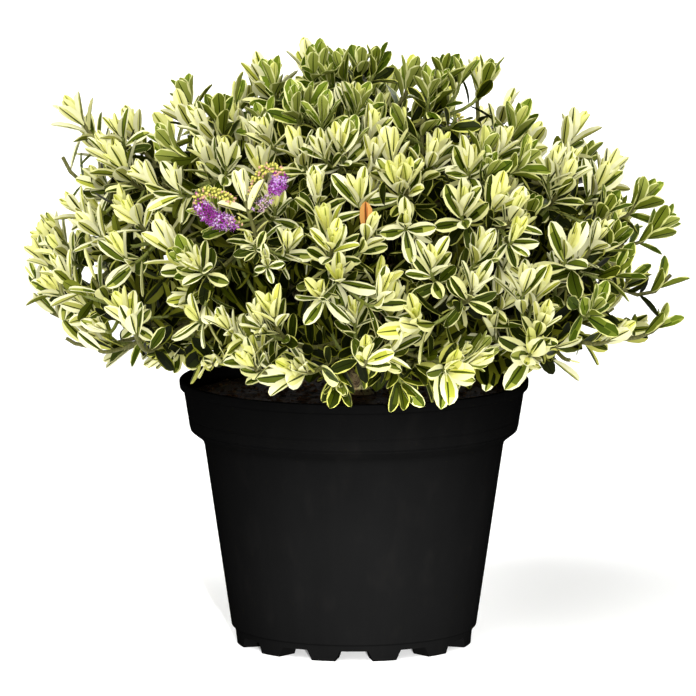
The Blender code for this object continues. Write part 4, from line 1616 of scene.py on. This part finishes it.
def smooth(mesh, degrees):
    """Smooth shading, except across edges that turn by more than an angle."""
    mesh.shade_smooth()
    mesh.set_sharp_from_angle(angle=math.radians(degrees))


def new_piece(name, mesh, material):
    mesh.materials.append(material)
    return add_object(name, mesh)

# %% [markdown]
# ## Black plastic
#
# The plastic is matt and nearly black, with faint upright streaks from the mould, fine pores, and
# dust that lies in cloudy patches. One dark colour with a gloss would look like new glass. In the
# photograph the pot hardly shines, so the shader has no specular at all, and small changes of tone
# and roughness do the work.

# %% Black plastic
plastic = Finish("black plastic", (8, 8, 9), 0.6, Specular_IOR_Level=0.0)
cloud = plastic.grain(0.05)
streaks = plastic.grain(0.010, (1, 1, 0.05), 2)
pores = plastic.grain(0.0012, detail=1)
dust = plastic.ramp(plastic.grain(0.016, (1, 1, 0.5), 8), [(0.55, 0), (0.85, 0.30)])
tone = plastic.blend(cloud * 0.6 + streaks * 0.4, (5, 5, 5), (8, 8, 8))
plastic.feed("Base Color", plastic.blend(dust, tone, (15, 14, 13)))
plastic.feed("Roughness", 0.50 + cloud * 0.14 + streaks * 0.06 + dust * 0.2)
plastic.bump(pores * 0.7 + streaks * 0.3, 0.00006)
print("plastic:", len(plastic.tree.nodes), "nodes")

# %% [markdown]
# ## The pot
#
# The outline is turned, in columns that crowd at the edges of the notches. Twelve notches part the
# feet: there the lowest points of the outline are lifted. The eight drain holes could be part of
# the turned shell, but round holes cut by a Boolean are simpler and stay round.

# %% Pot
def notch_columns():
    """Each column round the pot: the middle of its notch, the degrees from there, and the lift."""
    found = []
    for foot in range(FEET):
        middle = 360 * foot / FEET - 90
        found += [(middle, -turn, lift) for turn, lift in NOTCH_TURNS[-2:0:-1]]
        found += [(middle, turn, lift) for turn, lift in NOTCH_TURNS]
    return found


def polar(radius, angle):
    return radius * math.cos(angle), radius * math.sin(angle)


def pot_mesh():
    outline = rounded(POT_OUTLINE)
    columns = notch_columns()

    def point_at(ring, column):
        radius, height = outline[ring]
        middle, turn, lift = columns[column]
        if height < NOTCH_HEIGHT:
            height += (NOTCH_HEIGHT - height) * lift
            inward = within((FOOT_RADIUS - radius) / FOOT_DEPTH)
            turn *= 1 - NOTCH_NARROWS * inward * (abs(turn) < FEET_INSIDE)
        return Vector((*polar(radius, math.radians(middle + turn)), height))

    return shell_mesh("pot", len(outline), len(columns), point_at)


def drill(piece, radius, places, low, high):
    """Cuts upright holes through a piece and leaves it a plain mesh."""
    work = bmesh.new()
    for place in places:
        spot = Matrix.Translation(Vector((place.x, place.y, (low + high) / 2)))
        bmesh.ops.create_cone(
            work, cap_ends=True, segments=20, radius1=radius, radius2=radius,
            depth=high - low, matrix=spot,
        )
    mesh = bpy.data.meshes.new("drill")
    work.to_mesh(mesh)
    work.free()
    cutter = add_object("drill", mesh)
    modifier = piece.modifiers.new("Drill", "BOOLEAN")
    modifier.operation = "DIFFERENCE"
    modifier.solver = "MANIFOLD"
    modifier.object = cutter
    graph = bpy.context.evaluated_depsgraph_get()
    result = bpy.data.meshes.new_from_object(piece.evaluated_get(graph))
    piece.modifiers.remove(modifier)
    piece.data = result
    bpy.data.objects.remove(cutter, do_unlink=True)


pot = new_piece("pot", pot_mesh(), plastic.material)
drain_turns = [math.tau * (i + 0.5) / DRAINS for i in range(DRAINS)]
drain_places = [Vector((*polar(1, a), 0)) * DRAIN_CIRCLE for a in drain_turns]
drill(pot, DRAIN_RADIUS, drain_places, FLOOR_UNDER - WALL, FLOOR_TOP + WALL)
keep_worn_materials(pot.data)
smooth(pot.data, 32)
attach(pot, "root")
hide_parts("nursery_pot")
print("pot:", len(pot.data.polygons), "faces")

# %% [markdown]
# ## Potting mix
#
# The mix is peat and composted bark. Its top could be a flat disc with a bump, but its edge would
# show a straight line at the rim. So it is a shell that fills the pot clear of the wall, and noise
# raises its top a little.

# %% Potting mix
MIX_BELOW_RIM = 0.010
MIX_CROWN = 0.0015
MIX_TOP = POT_HEIGHT - MIX_BELOW_RIM
MIX_RINGS = 26
MIX_COLUMNS = 96
MIX_CLEAR = 0.0006
MIX_SUNK = 0.0006
MIX_LUMPS = ((0.0009, 90), (0.0008, 420))  # height, and how many to the metre


def mix_height(x, y):
    """The height of the mix's uneven top at a place."""
    radius = math.hypot(x, y) / pot_radius(MIX_TOP)
    spot = Vector((x, y, 0))
    rough = sum(height * noise.noise(spot * per_metre) for height, per_metre in MIX_LUMPS)
    return MIX_TOP - MIX_CROWN * radius**2 + rough - MIX_SUNK


def mix_mesh():
    edge = pot_radius(MIX_TOP) - WALL - MIX_CLEAR
    below = [
        (pot_radius(BAND_FOOT) - WALL - 2 * MIX_CLEAR, BAND_FOOT + WALL),
        (pot_radius(WALL_TOP) - WALL - 2 * MIX_CLEAR, WALL_TOP + 2 * WALL),
        (pot_radius(FLOOR_TOP) - 2 * WALL - 3 * MIX_CLEAR, FLOOR_TOP + GAP),
        (0, FLOOR_TOP + GAP),
    ]

    def point_at(ring, column):
        angle = math.tau * column / MIX_COLUMNS
        if ring < MIX_RINGS:
            radius = edge * ring / (MIX_RINGS - 1)
            height = mix_height(*polar(radius, angle))
        else:
            radius, height = below[ring - MIX_RINGS]
        return Vector((*polar(radius, angle), height))

    return shell_mesh("mix", MIX_RINGS + len(below), MIX_COLUMNS, point_at)


def earth(name, dark, pale, size):
    """A finish for crumbly brown stuff."""
    made = Finish(name, pale, 0.9, Specular_IOR_Level=0.15)
    patches = made.ramp(made.grain(size, detail=8), [(0.35, 0), (0.68, 1)])
    made.feed("Base Color", made.blend(patches, dark, pale))
    made.feed("Roughness", 0.8 + patches * 0.15)
    return made.bump(made.grain(size / 3, detail=6), size / 3)


mix_finish = earth("potting mix", (25, 17, 10), (76, 55, 36), 0.006)
mix = new_piece("mix", mix_mesh(), mix_finish.material)
smooth(mix.data, 40)
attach(mix, "root")
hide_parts("potting_mix")
print("mix:", len(mix.data.polygons), "faces")

# %% [markdown]
# ## Crumbs and chips
#
# Loose crumbs and longer chips of bark lie on the mix, all of them inside the rim. They are jagged
# balls of twenty faces in three shapes, strewn by the same tree of nodes as the leaves.

# %% Crumbs and chips
CRUMBS = 900
CRUMB_SIZE = 0.0016
CRUMB_CLEAR = 0.0065  # from the wall
CRUMB_TILT = 0.3
CRUMB_SIZES = (0.5, 1.6)
CRUMB_POWER = 1.5  # small ones are more common
CHIP_SHARE = 0.35
CRUMB_STRETCHES = (1, 1.3, 2.2)
CRUMB_JAGS = (0.7, 1.2)


def crumb_form(name, seed, stretch):
    """A crumb about one unit across: a jagged ball of twenty faces, stretched."""
    rng = random.Random(seed)
    work = bmesh.new()
    bmesh.ops.create_icosphere(work, subdivisions=1, radius=0.5)
    for corner in work.verts:
        corner.co *= rng.uniform(*CRUMB_JAGS)
        corner.co.x *= stretch
    mesh = bpy.data.meshes.new(name)
    work.to_mesh(mesh)
    work.free()
    store(mesh, "zone", "FACE", [0] * len(mesh.polygons))
    return mesh


chip_finish = earth("bark chips", (46, 29, 17), (112, 80, 52), 0.003)
crumb_meshes = [crumb_form(f"crumb_{i}", i, long) for i, long in enumerate(CRUMB_STRETCHES)]
crumb_forms = forms_collection("crumb_form", crumb_meshes)
crumb_tree = spray_tree("Crumbs on the mix", [mix_finish.material, chip_finish.material], 1)
crumb_rng = random.Random(77)
crumb_rows = new_rows()
for _ in range(CRUMBS):
    angle = crumb_rng.uniform(0, math.tau)
    radius = (pot_radius(MIX_TOP) - CRUMB_CLEAR) * math.sqrt(crumb_rng.random())
    x, y = polar(radius, angle)
    tilt = Vector((crumb_rng.gauss(0, CRUMB_TILT), crumb_rng.gauss(0, CRUMB_TILT), 1))
    turn = tilt.to_track_quat("Z", "Y") @ Matrix.Rotation(angle * 7, 3, "Z").to_quaternion()
    crumb_rows["place"].append(Vector((x, y, mix_height(x, y))))
    crumb_rows["turn"].append(turn)
    crumb_rows["size"].append(crumb_rng.uniform(*CRUMB_SIZES) ** CRUMB_POWER)
    crumb_rows["form"].append(crumb_rng.randint(0, 2))
    crumb_rows["tint"].append(int(crumb_rng.random() < CHIP_SHARE))
crumbs = spray_piece("mix_crumbs", crumb_tree, crumb_forms, crumb_rows, CRUMB_SIZE)
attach(crumbs, "root")
print("crumbs:", CRUMBS, "with", len(crumbs.data.polygons), "faces")

# %% [markdown]
# ## Limbs
#
# A limb is a tube along a path whose radius changes with the place and with the turn round it. The
# relief of bark could be bump alone, but the foot of the stem shows in outline. So furrows that run
# along, the rings that fallen leaves left and a lobed flare are in the mesh.

# %% Limbs
# Furrows: how many round the limb, how many to the metre along it, offset by seed, and weight
FURROWS = ((2.2, 90, 7.1, 1.0), (5, 220, 3.7, 0.5))


def ridges(along, turn, seed, depth):
    """Furrows that run along a limb and wander a little: a factor for its radius."""
    relief = 0
    for round_it, per_metre, shift, weight in FURROWS:
        spot = Vector((*polar(round_it, turn), along * per_metre + seed * shift))
        relief += weight * noise.noise(spot)
    return 1 + depth * relief


def add_limb(path, ways, radius_at, sides, points, faces):
    """Adds a closed tube along a path, whose radius depends on ring and turn."""
    ends = {0: path[0], len(path) + 1: path[-1]}
    sideways = []
    side = square_to(ways[0])
    for way in ways:
        side = (side - way * side.dot(way)).normalized()
        sideways.append((side, way.cross(side)))

    def point_at(ring, column):
        if ring in ends:
            return ends[ring]
        turn = math.tau * column / sides
        return path[ring - 1] + turned(*sideways[ring - 1], turn) * radius_at(ring - 1, turn)

    add_shell(points, faces, len(path) + 2, sides, point_at)

# %% [markdown]
# ## Main stem
#
# The stem is short, leans a little, flares into three lobes at its foot where the roots begin, and
# is rounded off at its top, inside the crown. It is a limb, whose radius follows those rules.

# %% Main stem
STEM_HEIGHT = 0.042
STEM_FLARE = 0.0125
STEM_RADIUS = 0.0085
STEM_TOP_RADIUS = 0.0066
STEM_LEAN = Vector((0.0020, -0.0015, 0))
FLARE_HEIGHT = STEM_HEIGHT / 4
FLARE_LOBES = 3
LOBE_DEPTH = 0.16
TOP_NARROWS = 0.25
TOP_FROM, TOP_SPAN = 0.93, 0.07  # of the stem's height
STEM_RELIEF = 0.07
STEM_SIDES = 40
STEM_RINGS = 30


def stem_axis(height):
    """The middle of the main stem at a height above its foot."""
    foot = Vector((0, 0, MIX_TOP + GAP))
    return foot + UP * height + STEM_LEAN * (height / STEM_HEIGHT) ** 2


def stem_radius(height):
    """The main stem flares into its roots over its lowest quarter."""
    flare = max(0.0, 1 - height / FLARE_HEIGHT) ** 2
    plain = STEM_RADIUS + (STEM_TOP_RADIUS - STEM_RADIUS) * height / STEM_HEIGHT
    return plain + (STEM_FLARE - STEM_RADIUS) * flare


def add_stem(points, faces):
    heights = [STEM_HEIGHT * (i / (STEM_RINGS - 1)) ** 1.3 for i in range(STEM_RINGS)]

    def radius_at(ring, turn):
        height = heights[ring]
        lobes = LOBE_DEPTH * max(0.0, 1 - height / FLARE_HEIGHT)
        end = 1 - TOP_NARROWS * max(0.0, (height / STEM_HEIGHT - TOP_FROM) / TOP_SPAN) ** 2
        round_it = 1 + lobes * math.cos(FLARE_LOBES * turn + 0.4)
        return stem_radius(height) * end * round_it * ridges(height, turn, 0, STEM_RELIEF)

    path = [stem_axis(height) for height in heights]
    add_limb(path, [UP] * STEM_RINGS, radius_at, STEM_SIDES, points, faces)


bark_points, bark_faces = [], []
add_stem(bark_points, bark_faces)
print("main stem:", len(bark_faces), "faces")

# %% [markdown]
# ## Boughs
#
# Each bough begins inside the stem and swells there, as a branch does at its collar, and follows
# the course of its solid to the heart of its mass. Boughs and stem could be joined by a Boolean,
# but closed limbs that run into each other look the same. They are one mesh, because they are one
# piece of wood.

# %% Boughs
BOUGH_RADII = (0.0034, 0.0021)
BOUGH_RELIEF = 0.11
BOUGH_SIDES = 14
BOUGH_RINGS = 44
BOUGH_INSIDE = 0.006  # how far a bough begins inside the stem
COLLAR = 0.55  # how much a bough swells where it leaves the stem
COLLAR_REACH = 0.007
SCAR_GAP = 0.0085  # between the rings on a bough
SCAR_HALF = 0.2  # of that gap
SCAR_DEPTH = 0.09


def bough_path(mass):
    """From inside the main stem along the course of the bough's solid."""
    _, way, start, azimuth, rise = mass
    first_way = way_of(azimuth, rise)
    if rise == 90:
        root = stem_axis(start) + UP * GAP
    else:
        clear = stem_radius(start) + BOUGH_RADII[0] * math.sin(math.radians(rise))
        root = stem_axis(start) + way_of(azimuth, 0) * clear
    course = bezier_points(root, first_way, bough_end(way), bough_last_way(way), BOUGH_RINGS - 3)
    return [root - first_way * BOUGH_INSIDE, root - first_way * BOUGH_INSIDE / 2] + course


def add_bough(number, mass, points, faces):
    path = bough_path(mass)
    ways = [(b - a).normalized() for a, b in zip(path[:1] + path[:-1], path[1:] + path[-1:])]
    ways[0] = ways[1]
    reach = [0.0]
    for a, b in zip(path, path[1:]):
        reach.append(reach[-1] + (b - a).length)

    def radius_at(ring, turn):
        share = reach[ring] / reach[-1]
        plain = BOUGH_RADII[0] + (BOUGH_RADII[1] - BOUGH_RADII[0]) * share
        collar = 1 + COLLAR * max(0.0, 1 - reach[ring] / COLLAR_REACH / 2) ** 2
        from_scar = abs((reach[ring] / SCAR_GAP) % 1 - 0.5)
        scar = 1 + SCAR_DEPTH * max(0.0, 1 - from_scar / SCAR_HALF)
        return plain * collar * scar * ridges(reach[ring], turn, number + 1, BOUGH_RELIEF)

    add_limb(path, ways, radius_at, BOUGH_SIDES, points, faces)


def bark_finish():
    made = Finish("bark", (112, 96, 68), 0.8, Specular_IOR_Level=0.25)
    furrows = made.grain(0.0022, (1, 1, 0.35), 6)
    cracks = made.ramp(furrows, [(0.38, 0), (0.52, 1)])
    moss = made.ramp(made.grain(0.02), [(0.45, 0), (0.65, 1)])
    plain = made.blend(moss, (118, 98, 68), (104, 108, 62))
    made.feed("Base Color", made.blend(cracks, (48, 36, 22), plain))
    made.feed("Roughness", 0.9 - cracks * 0.15)
    return made.bump(furrows, 0.0006)


for number, mass in enumerate(MASSES):
    add_bough(number, mass, bark_points, bark_faces)
bark = new_piece("bark", closed_mesh("bark", bark_points, bark_faces), bark_finish().material)
smooth(bark.data, 60)
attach(bark, "root")
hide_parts("main_stem", *[f"bough_{mass[0]}" for mass in MASSES])
print("bark:", len(bark.data.polygons), "faces")

# %% [markdown]
# ## Forms of florets and buds
#
# A floret is a small tube in a green calyx, with four petals that spread from the throat and two
# long stamens. At this size a handful of faces does, as long as each one is closed: the tube, the
# stamens and the buds are slim spindles, and a petal is a flake of eight triangles.

# %% Forms of florets
PETAL, THROAT, STAMEN, CALYX = range(4)
LOBES = 4


def add_spindle(rings, sides, band_zones, form):
    """Adds a closed body round +X through rings of (place, radius), with a zone for each band."""
    points, faces, zones = form

    def point_at(ring, column):
        place, radius = rings[ring]
        return Vector((place, *polar(radius, math.tau * column / sides)))

    bands = add_shell(points, faces, len(rings), sides, point_at)
    zones += [band_zones[band] for band in bands]


def add_lobe(turn, rng, form):
    """Adds one petal of an open floret: a closed flake that spreads from the throat."""
    points, faces, zones = form
    spread = rng.uniform(0.85, 1.15)
    flat = [(0.52, 0.06, 0.0), (0.66, 0.26, 0.15), (0.70 * spread, 0.50, 0.0), (0.66, 0.26, -0.15)]
    start = len(points)
    about = Matrix.Rotation(turn, 3, "X")
    for x, out, side in flat:
        points.append(about @ Vector((x, out, side)))
    points.append(about @ Vector((0.60, 0.28, 0.0)))
    points.append(about @ Vector((0.66, 0.24, 0.0)))
    for k in range(4):
        n = (k + 1) % 4
        faces.append((start + k, start + n, start + 5))
        faces.append((start + n, start + k, start + 4))
        zones += [THROAT if k in (0, 3) and rng.random() < 0.4 else PETAL, PETAL]


def floret_form(name, seed):
    """An open floret: calyx, tube, four petals and two stamens, one unit long to the petals."""
    rng = random.Random(seed)
    form = points, _, _ = [], [], []
    tube = ((0.0, 0), (0.16, 0.13), (0.34, 0.10), (0.58, 0.11), (0.52, 0))
    add_spindle(tube, 4, (CALYX, CALYX, THROAT, THROAT), form)
    for lobe in range(LOBES):
        add_lobe(math.tau * lobe / LOBES + rng.uniform(-0.15, 0.15), rng, form)
    root = Vector((0.4, 0, 0))
    for side in (-1, 1):
        before = len(points)
        stamen = ((0.5, 0), (0.95, 0.016), (1.02, 0.045), (1.12, 0))
        add_spindle(stamen, 3, (STAMEN, STAMEN, STAMEN), form)
        lean = Matrix.Rotation(side * rng.uniform(0.12, 0.35), 3, "Z")
        for i in range(before, len(points)):
            points[i] = lean @ (points[i] - root) + root
    return zoned_form(name, *form)


def bud_form(name, plump):
    """A closed bud: calyx below, folded petals above."""
    form = [], [], []
    rings = ((0.0, 0), (0.22, 0.20 * plump), (0.55, 0.27 * plump), (0.85, 0.19 * plump), (1.0, 0))
    add_spindle(rings, 5, (CALYX, CALYX, PETAL, PETAL), form)
    return zoned_form(name, *form)


floret_meshes = [floret_form(f"floret_{i}", i) for i in range(3)]
floret_meshes += [bud_form("floret_3", 0.9), bud_form("floret_4", 1.15)]
FLORET_FORMS = {"open": (0, 1, 2), "bud": (3, 4)}
floret_forms = forms_collection("floret_form", floret_meshes)
print("floret forms:", [len(mesh.polygons) for mesh in floret_meshes], "faces")

# %% [markdown]
# ## Blossom
#
# A spike opens from its root to its tip. So the florets at the root have faded to a pinkish white,
# those in the middle are open and purple, and the hook at the end is set with yellow-green buds.
# The table says so stretch by stretch, and the golden angle spaces the florets round the spike, as
# it does the shoots.

# %% Blossom
FLORET_LENGTH = 0.0062
# Left and right: form, from share of the spike, to share, florets, size, and the tints it has
SPIKE_STRETCHES = (
    (
        ("bud", 0.08, 0.17, 8, 0.50, ("green", "green", "blushed")),
        ("open", 0.16, 0.26, 18, 0.85, ("faded", "lilac", "lilac", "purple")),
        ("open", 0.24, 0.56, 70, 0.90, ("purple", "magenta", "magenta", "lilac")),
        ("bud", 0.53, 0.66, 26, 0.60, ("blushed", "blushed", "magenta", "green")),
        ("bud", 0.60, 1.00, 84, 0.50, ("green", "green", "green", "blushed")),
    ),
    (
        ("open", 0.10, 0.35, 26, 0.60, ("faded", "faded", "faded", "lilac")),
        ("open", 0.35, 0.50, 54, 0.86, ("purple", "magenta", "purple", "lilac")),
        ("bud", 0.48, 0.56, 16, 0.60, ("blushed", "blushed", "magenta")),
        ("bud", 0.52, 1.00, 100, 0.50, ("green", "green", "green", "blushed")),
    ),
)
# Tint: petals, throat, stamens, calyx
FLORET_TINTS = {
    "purple": ((160, 70, 172), (206, 150, 212), (190, 116, 200), (140, 140, 66)),
    "magenta": ((132, 34, 128), (176, 84, 172), (196, 116, 200), (120, 120, 56)),
    "lilac": ((206, 158, 222), (232, 206, 236), (220, 178, 230), (160, 160, 84)),
    "faded": ((222, 190, 206), (150, 110, 120), (196, 160, 180), (176, 172, 104)),
    "blushed": ((206, 158, 136), (190, 140, 120), (200, 150, 150), (186, 176, 92)),
    "green": ((204, 198, 96), (190, 180, 90), (200, 190, 110), (164, 164, 62)),
}
FLORET_ZONES = ("petal", "throat", "stamen", "calyx")
FLORET_NAMES = list(FLORET_TINTS)
FLORET_STRAY = 0.3
FLORET_FORWARD = (0.1, 0.6)
FLORET_SIZES = (0.85, 1.15)
FLORET_OUT = 0.0007
floret_materials = tint_finishes(FLORET_TINTS, FLORET_ZONES, 0.6, 0.25)
floret_tree = spray_tree("Florets on spikes", floret_materials, len(FLORET_ZONES))


def set_florets(line, stretches, rng, rows):
    """Sets the florets and buds of one spike round its middle line."""
    length = length_of(line)
    for form, low, high, count, size, tints in stretches:
        for k in range(count):
            share = low + (high - low) * (k + 0.5) / count
            middle, way = down_path(line, (1 - share) * length)
            about = k * GOLDEN_TURN + rng.uniform(-FLORET_STRAY, FLORET_STRAY)
            out = Matrix.Rotation(about, 3, way) @ square_to(way)
            length_way = (out + way * rng.uniform(*FLORET_FORWARD)).normalized()
            twist = Matrix.Rotation(rng.uniform(0, math.tau), 3, length_way).to_quaternion()
            rows["place"].append(middle + out * FLORET_OUT)
            rows["turn"].append(twist @ length_way.to_track_quat("X", "Z"))
            rows["size"].append(size * rng.uniform(*FLORET_SIZES))
            rows["form"].append(rng.choice(FLORET_FORMS[form]))
            rows["tint"].append(FLORET_NAMES.index(rng.choice(tints)))


blossom_rng = random.Random(9)
blossom_rows = new_rows()
for number, line in enumerate(SPIKES):
    set_florets(line, SPIKE_STRETCHES[number % 2], blossom_rng, blossom_rows)
floret_count = len(blossom_rows["place"])
blossom = spray_piece("blossom", floret_tree, floret_forms, blossom_rows, FLORET_LENGTH)
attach(blossom, "root")
print("blossom:", floret_count, "florets and buds,", len(blossom.data.polygons), "faces")

# %% [markdown]
# ## Studio
#
# The photograph's light is broad and comes from above the camera, so two large soft suns light the
# crown from the left and the right. One panel behind the camera and one behind the plant light what
# faces them, a narrow lamp lifts the front of the black pot, and a dim white world fills the
# shadows. The floor is wide and pale and glows a little, so that it stays nearly white even where
# the plant's shadow falls.

# %% Floor and light
FLOOR_HALF = 30.0
FLOOR_GLOW = 0.22
WORLD_STRENGTH = 0.18
floor_mesh = bpy.data.meshes.new("floor")
corners = [(-1, -1), (1, -1), (1, 1), (-1, 1)]
floor_mesh.from_pydata([(x * FLOOR_HALF, y * FLOOR_HALF, 0) for x, y in corners], [], [(0, 1, 2, 3)])
glow = {"Emission_Color": (1, 1, 1, 1), "Emission_Strength": FLOOR_GLOW}
pale_floor = Finish("pale floor", (250, 250, 249), 0.9, **glow)
floor = new_piece("floor", floor_mesh, pale_floor.material)
floor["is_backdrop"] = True


def add_light(name, kind, place, power, at=CROWN_MIDDLE, **settings):
    light = bpy.data.lights.new(name, kind)
    light.energy = power
    for setting, value in settings.items():
        setattr(light, setting, value)
    made = add_object(name, light)
    made.location = place
    made.rotation_euler = (at - Vector(place)).to_track_quat("-Z", "Y").to_euler()


add_light("soft sun", "SUN", (-1.4, -2.4, 3.0), 2.70, angle=math.radians(45))
add_light("second sun", "SUN", (1.7, -2.2, 3.2), 1.52, angle=math.radians(60))
panel = {"shape": "RECTANGLE", "size": 3.5, "size_y": 2.6}
add_light("panel", "AREA", (-0.6, -6.0, 1.6), 135, **panel)
add_light("back panel", "AREA", (0.6, 6.0, 1.6), 150, **panel)
pot_lamp = {"shadow_soft_size": 0.05, "spot_size": math.radians(3.2), "spot_blend": 1.0}
add_light("pot lamp", "SPOT", (0.45, -5.0, 0.45), 6500, Vector((0.008, 0, 0.055)), **pot_lamp)
world = bpy.data.worlds.new("studio")
bpy.context.scene.world = world
world.use_nodes = True
sky = world.node_tree.nodes["Background"].inputs
sky["Color"].default_value = (1, 1, 1, 1)
sky["Strength"].default_value = WORLD_STRENGTH
bpy.context.scene.view_settings.view_transform = "Standard"
print("lights:", ", ".join(light.name for light in bpy.data.lights))

# %% [markdown]
# ## Close the scene
#
# The box of the solids and the box of the finished pieces are printed side by side. The finished
# model has to stay within the solids' own box, give or take a little.

# %% Sizes, and the end
made_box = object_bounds()
for name, box in (("solids", cad_box), ("pieces", made_box)):
    print(f"box of the {name}:", [[round(x, 4) for x in corner] for corner in box])
